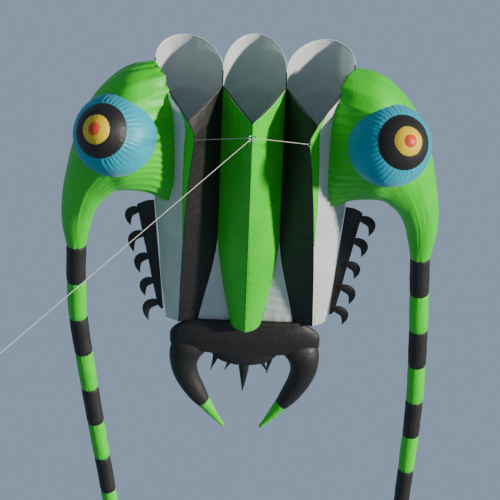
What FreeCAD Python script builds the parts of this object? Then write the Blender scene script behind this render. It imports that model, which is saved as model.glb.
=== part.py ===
import FreeCAD, Part

import math
import os

import Sketcher
from FreeCAD import Placement, Rotation, Vector

# Inflatable creature kite: three ram-air cells with a keel each, two inflated cheeks with domed eyes and
# horns, a tail lobe with two claws, leg strips along the flanks, two banded tube tails and a taut line.
#
# The shapes are drawn in the nose datum: x to the kite's right as seen from below, y from the mouth's upper
# lip towards the tail, z up, with z = 0 at the bottom of the mouths' V. Every sub-part's Placement then
# moves that datum, so that the model's origin is the centre of the tow ring.

DIMENSIONS = (
    ("cell_half_width", 266.0),
    ("mouth_height", 858.0),
    ("mouth_rake", 343.0),
    ("body_length", 2754.0),
    ("fabric_wall", 3.0),
    ("seam_gap", 1.0),
    ("tow_back", 180.0),
    ("tow_drop", 455.0),
    ("ring_radius", 30.0),
    ("ring_wire_radius", 4.0),
    ("bridle_radius", 2.5),
    ("line_radius", 3.0),
    ("line_run", 3560.0),
    ("thimble_bore_radius", 14.0),
    ("thimble_width", 12.0),
    ("keel_loop_radius", 16.0),
    ("keel_loop_wire_radius", 4.0),
    ("tape_width", 12.0),
    ("tape_depth", 6.0),
    ("vent_radius", 34.0),
    ("eye_dome_radius", 352.0),
    ("eye_ball_radius", 273.0),
    ("eye_ball_offset", 121.0),
    ("eye_iris_radius", 174.0),
    ("eye_iris_offset", 121.0),
    ("eye_pupil_radius", 91.0),
    ("eye_pupil_offset", 93.0),
    ("tail_band_length", 384.0),
    ("tail_start_radius", 86.0),
    ("tail_taper", 1.0),
    ("sleeve_step", 4.5),
    ("sleeve_depth", 8.0),
    ("flap_gap", 22.0),
    ("leg_strip_length", 1180.0),
    ("leg_strip_width", 150.0),
    ("leg_length", 165.0),
    ("leg_width", 62.0),
    ("leg_thickness", 24.0),
    ("root_gap", 6.0),
    ("eye_splice_radius", 14.0),
    ("eye_splice_gap", 6.0),
    ("rope_gap", 0.3),
    ("spike_radius", 46.0),
    ("spike_length", 300.0),
    ("small_spike_radius", 30.0),
    ("small_spike_length", 120.0),
)

doc = FreeCAD.newDocument("creature_kite")
sheet = doc.addObject("Spreadsheet::Sheet", "dimensions")
for row, (alias, value) in enumerate(DIMENSIONS, start=1):
    sheet.set(f"A{row}", alias)
    sheet.set(f"B{row}", str(value))
    sheet.setAlias(f"B{row}", alias)
doc.recompute()


def dim(alias):
    """One driving dimension from the sheet."""
    return float(getattr(sheet, alias))


W = dim("cell_half_width")
H = dim("mouth_height")
WALL = dim("fabric_wall")
GAP = dim("seam_gap")
TO_ORIGIN = Vector(0, -dim("tow_back"), dim("tow_drop"))
SIDES = (("left", -1), ("right", 1))
SUBPARTS = []

# The kite's long seam lines. Each row is a station u along the body (0 at the mouth, 1 at the trailing
# edge), then x in cell half-widths and z in mouth heights.
CENTRE_RIDGE = (
    (0, 0, 0), (0.3, 0, 0.10), (0.6, 0, 0.24),
    (0.85, 0, 0.37), (0.95, 0, 0.41), (1, 0, 0.43),
)
LOBE_EDGE = ((0, 1, 0.41), (0.6, 1, 0.52), (0.836, 0.775, 0.59), (1, 0.50, 0.64))
VALLEY = ((0, 1, 0.41), (0.6, 1, 0.52), (1, 1.568, 0.64))
SIDE_RIDGE = (
    (0, 2.02, 0), (0.075, 1.80, 0.015), (0.2, 1.89, 0.06),
    (0.34, 1.98, 0.14), (0.63, 2.10, 0.33), (1, 2.19, 0.58),
)
OUTER_LOW = (
    (0, 3.13, 0.56), (0.3, 3.10, 0.58), (0.54, 3.03, 0.60),
    (0.67, 2.89, 0.61), (0.81, 2.81, 0.63), (1, 2.60, 0.66),
)
OUTER_HIGH = (
    (0, 3.145, 0.69), (0.3, 3.16, 0.73), (0.54, 3.08, 0.74),
    (0.67, 2.94, 0.74), (0.81, 2.84, 0.735), (1, 2.62, 0.73),
)
RIB_TOP = ((0, 1, 0.58), (0.5, 1, 0.66), (1, 1, 0.72))
RIB_BOTTOM = ((0, 1, 0.42), (0.6, 1, 0.53), (1, 1, 0.655))
CENTRE_CROWN = ((0, 0, 1.0), (0.2, 0, 1.06), (0.5, 0, 1.01), (0.8, 0, 0.88), (1, 0, 0.79))
SIDE_CROWN = ((0, 2, 0.96), (0.2, 2, 1.01), (0.5, 2, 0.97), (0.8, 2, 0.86), (1, 2, 0.79))
# Share of each side keel's outer face that its green strip covers, from the ridge outwards.
STRIP_SHARE = ((0, 0.26, 0), (0.34, 0.16, 0), (0.62, 0.02, 0))

STATIONS = (0, 0.04, 0.075, 0.13, 0.2, 0.27, 0.34, 0.42, 0.5, 0.6, 0.67, 0.75, 0.836, 0.92, 1)
WEB_START = 0.63
BRIDLE_STATION = 0.075


def on_line(line, u):
    """Point (x, z) in mm of a seam line at station u."""
    for (u0, x0, z0), (u1, x1, z1) in zip(line, line[1:]):
        if u <= u1:
            break
    share = (u - u0) / (u1 - u0)
    return Vector((x0 + (x1 - x0) * share) * W, 0, (z0 + (z1 - z0) * share) * H)


def in_station(u, point, side=1):
    """Put an (x, z) point into the station's plane, which is raked at the mouth and upright at the tail."""
    rake = dim("mouth_rake") * (1 - point.z / H)
    return Vector(side * point.x, (1 - u) * rake + u * dim("body_length"), point.z)


def square_to(points, index):
    """Unit normal of an (x, z) curve at one of its points, always on the curve's same hand."""
    before = points[max(index - 1, 0)]
    after = points[min(index + 1, len(points) - 1)]
    along = (after - before).normalize()
    return Vector(-along.z, 0, along.x)


def inward_offset(points, distance, towards):
    """The same curve moved square to itself by a distance, to the side where the point `towards` lies."""
    middle = len(points) // 2
    facing = square_to(points, middle).dot(towards - points[middle])
    hand = distance * math.copysign(1, facing)
    return [point + square_to(points, index) * hand for index, point in enumerate(points)]


def curve_edges(points, straight_tail=False):
    """One smooth edge through the points, or a straight one through two; a straight tail is an edge apart."""
    if straight_tail:
        return curve_edges(points[:-1]) + curve_edges(points[-2:])
    if len(points) == 2:
        return [Part.makeLine(points[0], points[1])]
    curve = Part.BSplineCurve()
    curve.interpolate(points)
    return [curve.toShape()]


def positive(shape):
    """The loft as a solid with its faces turned outwards."""
    solid = shape if shape.ShapeType == "Solid" else Part.makeSolid(shape)
    if solid.Volume < 0:
        solid.reverse()
    return solid


def panel(section, stations, side=1, straight_tail=False):
    """Thin fabric panel. section(u) gives the outer curve's (x, z) points and a point inside the cell."""
    wires = []
    for u in stations:
        outer, inside = section(u)
        inner = inward_offset(outer, WALL, inside)
        outer = [in_station(u, point, side) for point in outer]
        inner = [in_station(u, point, side) for point in inner]
        edges = curve_edges(outer, straight_tail)
        edges += [Part.makeLine(outer[-1], inner[-1])]
        edges += [edge for edge in reversed(curve_edges(inner, straight_tail))]
        edges += [Part.makeLine(inner[0], outer[0])]
        wires.append(Part.Wire(edges))
    return positive(Part.makeLoft(wires, True, True))


def between(start, end, start_gap, end_gap):
    """The straight line from start to end, shortened by a gap at each end."""
    along = (end - start).normalize()
    return start + along * start_gap, end - along * end_gap


def arched(start, end, height, count=9):
    """Half-ellipse arch of the given rise from start to end."""
    points = []
    for index in range(count):
        angle = math.pi * index / (count - 1)
        base = start + (end - start) * ((1 - math.cos(angle)) / 2)
        points.append(base + Vector(0, 0, height * math.sin(angle)))
    return points


def bulged(start, end, sag, down, count=5):
    """Shallow bow from start to end whose middle stands off by sag times its length, towards `down`."""
    span = end - start
    normal = Vector(span.z, 0, -span.x).normalize()
    if normal.dot(down) < 0:
        normal = normal * -1
    points = []
    for index in range(count):
        share = index / (count - 1)
        points.append(start + span * share + normal * (4 * sag * span.Length * share * (1 - share)))
    return points


def add_feature(name, shape):
    """A sub-part whose shape is computed: fabric skins, which neither a body nor a primitive fits."""
    feature = doc.addObject("Part::Feature", name)
    feature.Label = name
    feature.Shape = shape
    feature.Placement = Placement(TO_ORIGIN, Rotation())
    SUBPARTS.append(feature)
    return feature


# ---- the three cells -------------------------------------------------------------------------------------

def centre_top_section(u):
    setback = WALL / 2 + GAP
    rib = on_line(RIB_TOP, u)
    left = Vector(-rib.x + setback, 0, rib.z)
    right = Vector(rib.x - setback, 0, rib.z)
    return arched(left, right, on_line(CENTRE_CROWN, u).z - rib.z), on_line(CENTRE_RIDGE, u)


def side_top_curve(u):
    """Arch from the rib over the side cell to its flank, then straight down to the side panel."""
    rib = on_line(RIB_TOP, u) + Vector(WALL / 2 + GAP, 0, 0)
    high = on_line(OUTER_HIGH, u)
    rise = on_line(SIDE_CROWN, u).z - (rib.z + high.z) / 2
    return arched(rib, high, rise)


def side_top_section(u):
    curve = side_top_curve(u)
    low = on_line(OUTER_LOW, u) + Vector(0, 0, 2 * GAP)
    return curve + [low], on_line(VALLEY, u) + Vector(W, 0, 0)


def centre_keel_section(u):
    edge = on_line(LOBE_EDGE, u)
    ridge = on_line(CENTRE_RIDGE, u)
    outer_start, outer_end = between(edge - Vector(WALL / 2 + GAP, 0, 0), ridge, 0, 2.4 * WALL)
    sag = 0.03 + 0.20 * max(0, u - 0.3)
    return bulged(outer_start, outer_end, sag, Vector(0.6, 0, -1)), Vector(0, 0, H)


def inner_keel_section(u):
    edge = on_line(VALLEY, u) + Vector(WALL / 2 + GAP, 0, 0)
    outer_start, outer_end = between(edge, on_line(SIDE_RIDGE, u), 0, 2.4 * WALL)
    return [outer_start, outer_end], Vector(2 * W, 0, H)


def strip_section(u):
    ridge, outer = on_line(SIDE_RIDGE, u), on_line(OUTER_LOW, u)
    end = ridge + (outer - ridge) * on_line(STRIP_SHARE, u).x * (1 / W)
    return list(between(ridge, end, 2.4 * WALL, GAP)), Vector(2 * W, 0, H)


def side_panel_section(u):
    ridge, outer = on_line(SIDE_RIDGE, u), on_line(OUTER_LOW, u)
    if u < STRIP_SHARE[-1][0]:
        start = ridge + (outer - ridge) * on_line(STRIP_SHARE, u).x * (1 / W)
        return list(between(start, outer, GAP, 2 * GAP)), Vector(2 * W, 0, H)
    return list(between(ridge, outer, 2.4 * WALL, 2 * GAP)), Vector(2 * W, 0, H)


def web_section(u):
    inner, outer = on_line(LOBE_EDGE, u), on_line(VALLEY, u)
    return list(between(inner, outer, 2 * GAP, 2 * GAP)), Vector(W, 0, 2 * H)


def make_cells():
    strip_stations = [u for u in STATIONS if u < 0.6]
    web_stations = [WEB_START] + [u for u in STATIONS if u > WEB_START]
    add_feature("centre_top_skin", panel(centre_top_section, STATIONS))
    for name, side in SIDES:
        add_feature(f"{name}_top_skin", panel(side_top_section, STATIONS, side, True))
        add_feature(f"centre_keel_{name}_panel", panel(centre_keel_section, STATIONS, side))
        add_feature(f"{name}_keel_inner_panel", panel(inner_keel_section, STATIONS, side))
        add_feature(f"{name}_keel_strip", panel(strip_section, strip_stations, side))
        add_feature(f"{name}_side_panel", panel(side_panel_section, STATIONS, side))
        add_feature(f"{name}_web_panel", panel(web_section, web_stations, side))


# ---- ribs, mouth tapes -----------------------------------------------------------------------------------

def new_body(name, base, rotation=Rotation()):
    """PartDesign body placed in the nose datum."""
    body = doc.addObject("PartDesign::Body", name)
    body.Label = name
    body.Placement = Placement(TO_ORIGIN + base, rotation)
    SUBPARTS.append(body)
    return body


def sketch_on(body, name, role):
    """Sketch on one of the body's own origin planes."""
    sketch = body.newObject("Sketcher::SketchObject", name)
    plane = next(item for item in body.Origin.OriginFeatures if item.Role == role)
    sketch.AttachmentSupport = (plane, [""])
    sketch.MapMode = "FlatFace"
    return sketch


def draw_polygon(sketch, corners):
    """Closed outline of straight lines whose ends are tied together."""
    count = len(corners)
    for index in range(count):
        sketch.addGeometry(Part.LineSegment(corners[index], corners[(index + 1) % count]), False)
    for index in range(count):
        sketch.addConstraint(Sketcher.Constraint("Coincident", index, 2, (index + 1) % count, 1))


def make_rib(name, side):
    """Upright wall between two cells, with round vents that let the air even out."""
    body = new_body(name, Vector(side * W, 0, 0))
    outline = sketch_on(body, f"{name}_outline", "YZ_Plane")
    corners = [in_station(u, on_line(RIB_BOTTOM, u)) for u in (0, 0.6, 1)]
    corners += [in_station(u, on_line(RIB_TOP, u)) for u in (1, 0.5, 0)]
    draw_polygon(outline, [Vector(corner.y, corner.z, 0) for corner in corners])
    pad = body.newObject("PartDesign::Pad", f"{name}_wall")
    pad.Profile = outline
    pad.Midplane = True
    pad.setExpression("Length", "dimensions.fabric_wall")
    vents = sketch_on(body, f"{name}_vents", "YZ_Plane")
    for index, u in enumerate((0.16, 0.30, 0.44, 0.58)):
        low, high = on_line(RIB_BOTTOM, u), on_line(RIB_TOP, u)
        centre = in_station(u, (low + high) * 0.5)
        vents.addGeometry(Part.Circle(Vector(centre.y, centre.z, 0), Vector(0, 0, 1), dim("vent_radius")), False)
        vents.addConstraint(Sketcher.Constraint("Radius", index, dim("vent_radius")))
        vents.renameConstraint(index, f"vent_{index}")
        vents.setExpression(f"Constraints.vent_{index}", "dimensions.vent_radius")
    pocket = body.newObject("PartDesign::Pocket", f"{name}_vent_holes")
    pocket.Profile = vents
    pocket.Type = "ThroughAll"
    pocket.Midplane = True
    body.Tip = pocket


def mouth_outline(cell, side, inset):
    """Closed wire of a mouth in its raked plane, set in from the cloth's outer face."""
    if cell == "centre":
        top, _ = centre_top_section(0)
        centre = Vector(0, 0, 0.55 * H)
        below = [on_line(CENTRE_RIDGE, 0)]
    else:
        top = side_top_curve(0)
        centre = Vector(2.05 * W, 0, 0.55 * H)
        below = [on_line(OUTER_LOW, 0), on_line(SIDE_RIDGE, 0), on_line(VALLEY, 0) + Vector(WALL, 0, 0)]
    if cell == "centre":
        edge = on_line(VALLEY, 0) - Vector(WALL, 0, 0)
        below = [edge] + below + [Vector(-edge.x, 0, edge.z)]
    shrink = [point + (centre - point).normalize() * inset for point in top + below]
    points = [in_station(0, point, side) for point in shrink]
    edges = curve_edges(points[:len(top)])
    lower = points[len(top) - 1:] + points[:1]
    edges += [Part.makeLine(start, end) for start, end in zip(lower, lower[1:])]
    return Part.Wire(edges)


def make_mouth_tape(name, cell, side):
    """Flat binding sewn round a mouth's rim, just ahead of the cloth edges."""
    outer = mouth_outline(cell, side, 0)
    inner = mouth_outline(cell, side, dim("tape_width"))
    ring = Part.Face(outer).cut(Part.Face(inner)).Faces[0]
    forward = Vector(0, -1, -dim("mouth_rake") / H).normalize()
    tape = ring.extrude(forward * dim("tape_depth"))
    tape.translate(forward * GAP)
    add_feature(name, tape)


def make_ribs_and_tapes():
    for name, side in SIDES:
        make_rib(f"{name}_rib", side)
        make_mouth_tape(f"{name}_mouth_tape", "side", side)
    make_mouth_tape("centre_mouth_tape", "centre", 1)


# ---- round inflated pieces -------------------------------------------------------------------------------

QUARTER_STEPS = 4


def ring_wire(centre, along, half_width, half_height):
    """Oval square to `along`, of four quarter arcs: half_width sideways, half_height upwards."""
    across = along.cross(Vector(0, 0, 1)).normalize()
    wide, tall = across * half_width, Vector(0, 0, half_height)
    edges = []
    for quarter in range(4):
        angles = [math.pi / 2 * (quarter + step / QUARTER_STEPS) for step in range(QUARTER_STEPS + 1)]
        points = [centre + wide * math.cos(angle) + tall * math.sin(angle) for angle in angles]
        slopes = [tall * math.cos(angle) - wide * math.sin(angle) for angle in angles]
        arc = Part.BSplineCurve()
        arc.interpolate(Points=points, InitialTangent=slopes[0], FinalTangent=slopes[-1])
        edges.append(arc.toShape())
    return Part.Wire(edges)


def heading(degrees):
    """Level unit vector: 0 degrees points outwards (+x), 90 degrees to the tail (+y)."""
    return Vector(math.cos(math.radians(degrees)), math.sin(math.radians(degrees)), 0)


def inflated(rings, shrink, lead=0.0):
    """Solid through rings of (x, y, z, heading, half width, half height) in mm, each shrunk all round."""
    wires = []
    for index, (x, y, z, degrees, half_width, half_height) in enumerate(rings):
        along = heading(degrees)
        centre = Vector(x, y, z)
        if index == 0:
            centre = centre - along * lead
        wires.append(ring_wire(centre, along, half_width - shrink, half_height - shrink))
    return positive(Part.makeLoft(wires, True, False))


def scaled_rings(rings):
    """Rings given in cell half-widths, in mm."""
    return [(x * W, y * W, z * W, degrees, a * W, b * W) for x, y, z, degrees, a, b in rings]


def set_back(rings, distance):
    """The same rings with the last one moved back along its own heading."""
    last = rings[-1]
    centre = Vector(*last[:3]) - heading(last[3]) * distance
    return list(rings[:-1]) + [(centre.x, centre.y, centre.z) + tuple(last[3:])]


def mirrored(shape, side):
    """The shape as it is on the right, or its mirror image on the left."""
    return shape if side > 0 else shape.mirror(Vector(0, 0, 0), Vector(1, 0, 0))


# Cheek and horn: rings from the root inside the flank to the horn's end. x, y, z and the half sizes are in
# cell half-widths.
CHEEK_RINGS = (
    (2.00, 2.84, 1.83, 0, 2.52, 0.55),
    (2.58, 2.84, 1.74, 0, 2.56, 1.00),
    (3.22, 2.61, 1.61, 0, 2.32, 1.40),
    (3.97, 2.58, 1.45, 3, 2.08, 1.61),
    (4.60, 3.05, 1.42, 12.5, 1.70, 1.42),
    (4.95, 3.61, 1.42, 21, 1.39, 1.23),
    (5.20, 4.19, 1.42, 28, 1.10, 1.03),
    (5.40, 4.90, 1.43, 39.5, 0.82, 0.82),
    (5.52, 5.63, 1.45, 59, 0.60, 0.60),
    (5.56, 6.32, 1.47, 80, 0.47, 0.46),
    (5.55, 7.13, 1.48, 90, 0.323, 0.322),
)
EYE_CENTRE = Vector(4.32, 2.16, 0.42)
EYE_AXIS = Vector(0.39, -0.592, -0.705)


def flank_core():
    """Solid of the side cell's outer half and of the space ahead of it, which the cheek's root is trimmed to."""
    wires = []
    for ahead, u in [(dim("mouth_rake"), 0)] + [(0, u) for u in STATIONS]:
        inside = Vector(2 * W, 0, 0.55 * H)
        top = inward_offset(side_top_curve(u), -dim("root_gap"), inside)
        panel_line = [on_line(OUTER_LOW, u), on_line(SIDE_RIDGE, u)]
        panel_line = inward_offset(panel_line, -dim("root_gap"), inside)
        lower = [top[-1], panel_line[0], panel_line[1], on_line(VALLEY, u), top[0]]
        edges = curve_edges([in_station(u, point) for point in top])
        lower = [in_station(u, point) for point in lower]
        edges += [Part.makeLine(start, end) for start, end in zip(lower, lower[1:])]
        wire = Part.Wire(edges)
        wire.translate(Vector(0, -ahead, 0))
        wires.append(wire)
    return positive(Part.makeLoft(wires, True, True))


def make_cheek(name, side, core):
    """Cheek pod and horn in one skin, open towards the cell and at the horn's end."""
    rings = scaled_rings(CHEEK_RINGS)
    skin = inflated(rings, 0).cut(inflated(set_back(rings, -WALL), WALL, 2 * WALL)).cut(core)
    outer_piece = max(skin.Solids, key=lambda solid: solid.Volume)
    add_feature(name, mirrored(outer_piece, side))


def add_sphere(name, radius_expression, centre, axis):
    """Helper ball for an eye, in the nose datum, with its poles on the eye's axis."""
    ball = doc.addObject("Part::Sphere", name)
    ball.setExpression("Radius", radius_expression)
    ball.Placement = Placement(TO_ORIGIN + centre, Rotation(Vector(0, 0, 1), axis))
    return ball


def add_cut(name, base, tool):
    cut = doc.addObject("Part::Cut", name)
    cut.Label = name
    cut.Base = base
    cut.Tool = tool
    return cut


def make_eye(side_name, side, pod):
    """Blue dome sewn on the cheek, with a black ball, an iris and a pupil stacked on it."""
    axis = Vector(side * EYE_AXIS.x, EYE_AXIS.y, EYE_AXIS.z).normalize()
    centre = Vector(side * EYE_CENTRE.x, EYE_CENTRE.y, EYE_CENTRE.z) * W
    backing = doc.addObject("Part::Feature", f"{side_name}_eye_backing")
    backing.Shape = mirrored(pod, side)
    backing.Placement = Placement(TO_ORIGIN, Rotation())
    for layer in ("eye_dome", "eye_ball", "eye_iris", "eye_pupil"):
        name = f"{side_name}_{layer}"
        if layer != "eye_dome":
            centre = centre + axis * dim(f"{layer}_offset")
        outer = add_sphere(f"{name}_outside", f"dimensions.{layer}_radius", centre, axis)
        inside_radius = f"dimensions.{layer}_radius - dimensions.fabric_wall"
        inner = add_sphere(f"{name}_inside", inside_radius, centre, axis)
        shell = add_cut(f"{name}_shell", outer, inner)
        SUBPARTS.append(add_cut(name, shell, backing))
        backing_radius = f"dimensions.{layer}_radius + dimensions.seam_gap"
        backing = add_sphere(f"{name}_backing", backing_radius, centre, axis)


def make_cheeks_and_eyes():
    core = flank_core()
    pod = inflated(scaled_rings(CHEEK_RINGS), -GAP)
    for name, side in SIDES:
        make_cheek(f"{name}_cheek", side, core)
        make_eye(name, side, pod)


# ---- tube tails ------------------------------------------------------------------------------------------

# Level headings of each tail at its seams, in degrees turned inwards from straight back.
TAIL_TURNS = {
    "left": (0.5, 3.0, 7.5, 8.5, 8.5, 9.0, 9.0, 9.0, 9.0),
    "right": (-2.0, -2.0, -1.0, 0.0, 2.0, 3.0, 3.5, 3.5, 3.5),
}
TAIL_BODIES = (("front", (0, 1, 2)), ("middle", (3, 4, 5)), ("end", (6, 7)))
TIP_SHARES = ((0.80, 1.0), (0.90, 0.92), (0.96, 0.70), (1.0, 0.25))


def tail_seams(side_name, side):
    """Seam centres and headings of one tail, from the horn's end backwards, and its radius there."""
    x, y, z = (CHEEK_RINGS[-1][axis] * W for axis in range(3))
    centre = Vector(side * x, y, z)
    seams = []
    for index, turn in enumerate(TAIL_TURNS[side_name]):
        radius = dim("tail_start_radius") - dim("tail_taper") * index
        seams.append((centre, 90 + side * turn, radius))
        centre = centre + heading(90 + side * turn) * dim("tail_band_length")
    return seams


def tail_band(seams, index, step, first):
    """One band of a tail tube: an open sleeve, or a closed tip on the last."""
    start, start_heading, start_radius = seams[index]
    end, end_heading, end_radius = seams[index + 1]
    rings = []
    lead = dim("sleeve_depth") if first else -GAP
    last = index == len(seams) - 2
    shares = ((0.0, 1.0), (0.5, 1.0)) + (TIP_SHARES if last else ((1.0, 1.0),))
    for share, swell in shares:
        centre = start + (end - start) * share
        degrees = start_heading + (end_heading - start_heading) * share
        radius = (start_radius + (end_radius - start_radius) * share - step) * swell
        rings.append((centre.x, centre.y, centre.z, degrees, radius, radius))
    outer = inflated(rings, 0, lead)
    if not last:
        centre = end + heading(end_heading) * 2 * WALL
        rings[-1] = (centre.x, centre.y, centre.z) + rings[-1][3:]
    inner = inflated(rings, WALL, lead + 2 * WALL)
    return outer.cut(inner)


def make_tails():
    for name, side in SIDES:
        seams = tail_seams(name, side)
        for order, (section, bands) in enumerate(TAIL_BODIES, start=1):
            sleeves = {"black": [], "green": []}
            for index in bands:
                colour = "green" if index % 2 else "black"
                step = order * dim("sleeve_step")
                sleeves[colour].append(tail_band(seams, index, step, index == bands[0]))
            for colour, tubes in sleeves.items():
                plural = "s" if len(tubes) > 1 else ""
                shape = Part.makeCompound(tubes) if plural else tubes[0]
                add_feature(f"{name}_tail_{section}_{colour}_band{plural}", shape)


# ---- tail lobe, claws and spikes -------------------------------------------------------------------------

# Rings of the black lobe, of the round end between the claws and of one claw, as for the cheek.
LOBE_RINGS = (
    (0, 10.44, 2.09, 90, 1.94, 0.28),
    (0, 10.71, 2.11, 90, 2.32, 0.39),
    (0, 11.03, 2.13, 90, 2.47, 0.47),
    (0, 11.39, 2.13, 90, 2.44, 0.44),
)
LOBE_END_RINGS = (
    (0, 11.10, 2.13, 90, 1.10, 0.40),
    (0, 11.75, 2.13, 90, 1.05, 0.40),
    (0, 12.00, 2.13, 90, 0.80, 0.32),
    (0, 12.10, 2.13, 90, 0.45, 0.20),
)
CLAW_RINGS = (
    (1.81, 11.50, 2.13, 88, 0.62, 0.42),
    (1.94, 11.81, 2.13, 88, 0.52, 0.44),
    (1.98, 12.23, 2.13, 95, 0.44, 0.40),
    (1.85, 12.77, 2.13, 108, 0.39, 0.37),
    (1.56, 13.35, 2.13, 122, 0.32, 0.32),
    (1.32, 13.74, 2.13, 128, 0.235, 0.235),
)
CLAW_TIP_RINGS = (
    (1.30, 13.77, 2.13, 128, 0.225, 0.225),
    (0.97, 14.26, 2.13, 126, 0.14, 0.14),
    (0.58, 14.79, 2.13, 127, 0.03, 0.03),
)


def hollow(rings):
    """Inflated skin through the rings, open at the first ring and closed at the last."""
    return inflated(rings, 0).cut(inflated(set_back(rings, WALL), WALL, 2 * WALL))


def make_tail_lobe():
    lobe, end = scaled_rings(LOBE_RINGS), scaled_rings(LOBE_END_RINGS)
    outer = inflated(lobe, 0).fuse(inflated(end, 0))
    inner = inflated(set_back(lobe, WALL), WALL, 2 * WALL).fuse(inflated(set_back(end, WALL), WALL))
    add_feature("tail_lobe", outer.cut(inner))
    return outer


def make_claws():
    claw, tip = scaled_rings(CLAW_RINGS), scaled_rings(CLAW_TIP_RINGS)
    for name, side in SIDES:
        add_feature(f"{name}_claw", mirrored(hollow(claw), side))
        add_feature(f"{name}_claw_tip", mirrored(hollow(tip), side))


def make_spikes(lobe):
    """Four short spikes sewn on the lobe's end, and the long one that hangs free in the middle."""
    backing = doc.addObject("Part::Feature", "spike_backing")
    backing.Shape = lobe
    backing.Placement = Placement(TO_ORIGIN, Rotation())
    points_back = Rotation(Vector(0, 0, 1), Vector(0, 1, 0))
    cones = []
    for index, across in enumerate((-0.92, -0.42, 0.56, 0.86)):
        cone = doc.addObject("Part::Cone", f"small_spike_{index + 1}")
        cone.setExpression("Radius1", "dimensions.small_spike_radius")
        cone.Radius2 = 0
        cone.setExpression("Height", "dimensions.small_spike_length")
        cone.Placement = Placement(TO_ORIGIN + Vector(across, 11.95, 2.13) * W, points_back)
        cones.append(cone)
    group = doc.addObject("Part::MultiFuse", "small_spike_cones")
    group.Shapes = cones
    SUBPARTS.append(add_cut("small_spikes", group, backing))
    spike = doc.addObject("Part::Cone", "centre_spike")
    spike.Label = "centre_spike"
    spike.setExpression("Radius1", "dimensions.spike_radius")
    spike.Radius2 = 0
    spike.setExpression("Height", "dimensions.spike_length")
    spike.Placement = Placement(TO_ORIGIN + Vector(0, 12.10 * W + dim("flap_gap"), 2.13 * W), points_back)
    SUBPARTS.append(spike)


# ---- leg strips and legs ---------------------------------------------------------------------------------

STRIP_START = Vector(3.085, 5.62, 1.96)
STRIP_END = Vector(2.725, 9.87, 2.13)
# Shares of the strip's length and width along its free edge, and where the legs stand on it.
STRIP_OUTLINE = ((0.06, 1.0), (0.55, 0.62), (1.0, 0.30))
LEG_SHARES = (0.06, 0.275, 0.49, 0.705, 0.92)


def strip_frame(side):
    """Start of a leg strip's sewn edge, the turn that lays x along that edge, and the sign of y outwards."""
    start = Vector(side * STRIP_START.x, STRIP_START.y, STRIP_START.z) * W
    end = Vector(side * STRIP_END.x, STRIP_END.y, STRIP_END.z) * W
    along = (end - start).normalize()
    turn = Rotation(along, Vector(side, 0, 0), Vector(), "XYZ")
    hand = 1 if turn.multVec(Vector(0, 1, 0)).x * side > 0 else -1
    return start, turn, hand


def strip_edge(share):
    """Width of the strip, as a share of its widest, at a share of the way along it."""
    for (start, wide), (end, narrow) in zip(STRIP_OUTLINE, STRIP_OUTLINE[1:]):
        if share <= end:
            break
    return wide + (narrow - wide) * (share - start) / (end - start)


def make_leg_strip(name, side):
    start, turn, hand = strip_frame(side)
    body = new_body(name, start, turn)
    outline = sketch_on(body, f"{name}_outline", "XY_Plane")
    length, width = dim("leg_strip_length"), dim("leg_strip_width")
    corners = [(0, 0), (1, 0)] + list(reversed(STRIP_OUTLINE))
    draw_polygon(outline, [Vector(x * length, hand * y * width, 0) for x, y in corners])
    pad = body.newObject("PartDesign::Pad", f"{name}_cloth")
    pad.Profile = outline
    pad.Midplane = True
    pad.setExpression("Length", "dimensions.fabric_wall")
    body.Tip = pad


def leg_face(x, y):
    """Hooked leg in the strip's plane: a root on the strip's edge, an elbow, and a tip that points back."""
    length, width = dim("leg_length"), dim("leg_width")
    root_front = Vector(x, y, 0)
    root_back = Vector(x + width, y, 0)
    tip = Vector(x + length, y + 0.66 * length, 0)
    outer = Part.Arc(root_front, Vector(x + 0.22 * length, y + 0.62 * length, 0), tip)
    inner = Part.Arc(tip, Vector(x + 0.50 * length, y + 0.46 * length, 0), root_back)
    edges = [outer.toShape(), inner.toShape(), Part.makeLine(root_back, root_front)]
    return Part.Face(Part.Wire(edges))


def make_legs(name, side):
    start, turn, hand = strip_frame(side)
    thickness = dim("leg_thickness")
    legs = []
    for share in LEG_SHARES:
        edge = strip_edge(share) * dim("leg_strip_width") + GAP
        leg = leg_face(share * dim("leg_strip_length"), edge).extrude(Vector(0, 0, thickness))
        leg.translate(Vector(0, 0, -thickness / 2))
        if hand < 0:
            leg = leg.mirror(Vector(0, 0, 0), Vector(0, 1, 0))
        legs.append(leg)
    feature = add_feature(name, Part.makeCompound(legs))
    feature.Placement = Placement(TO_ORIGIN + start, turn)


# ---- bridle, tow ring and line ---------------------------------------------------------------------------

LINE_DIRECTION = Vector(-0.724, 0.050, -1.135).normalize()


def tube(start, end, radius):
    return Part.makeCylinder(radius, (end - start).Length, start, end - start)


def add_torus(name, centre, normal, radius_alias, wire_alias):
    torus = doc.addObject("Part::Torus", name)
    torus.Label = name
    torus.setExpression("Radius1", f"dimensions.{radius_alias}")
    torus.setExpression("Radius2", f"dimensions.{wire_alias}")
    torus.Placement = Placement(centre, Rotation(Vector(0, 0, 1), normal))
    return torus


def add_straight(name, start, end, radius_alias):
    """Straight cord as a cylinder from start to end, in the model's own frame."""
    cord = doc.addObject("Part::Cylinder", name)
    cord.Label = name
    cord.setExpression("Radius", f"dimensions.{radius_alias}")
    cord.Height = (end - start).Length
    cord.Placement = Placement(start, Rotation(Vector(0, 0, 1), end - start))
    SUBPARTS.append(cord)


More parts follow.
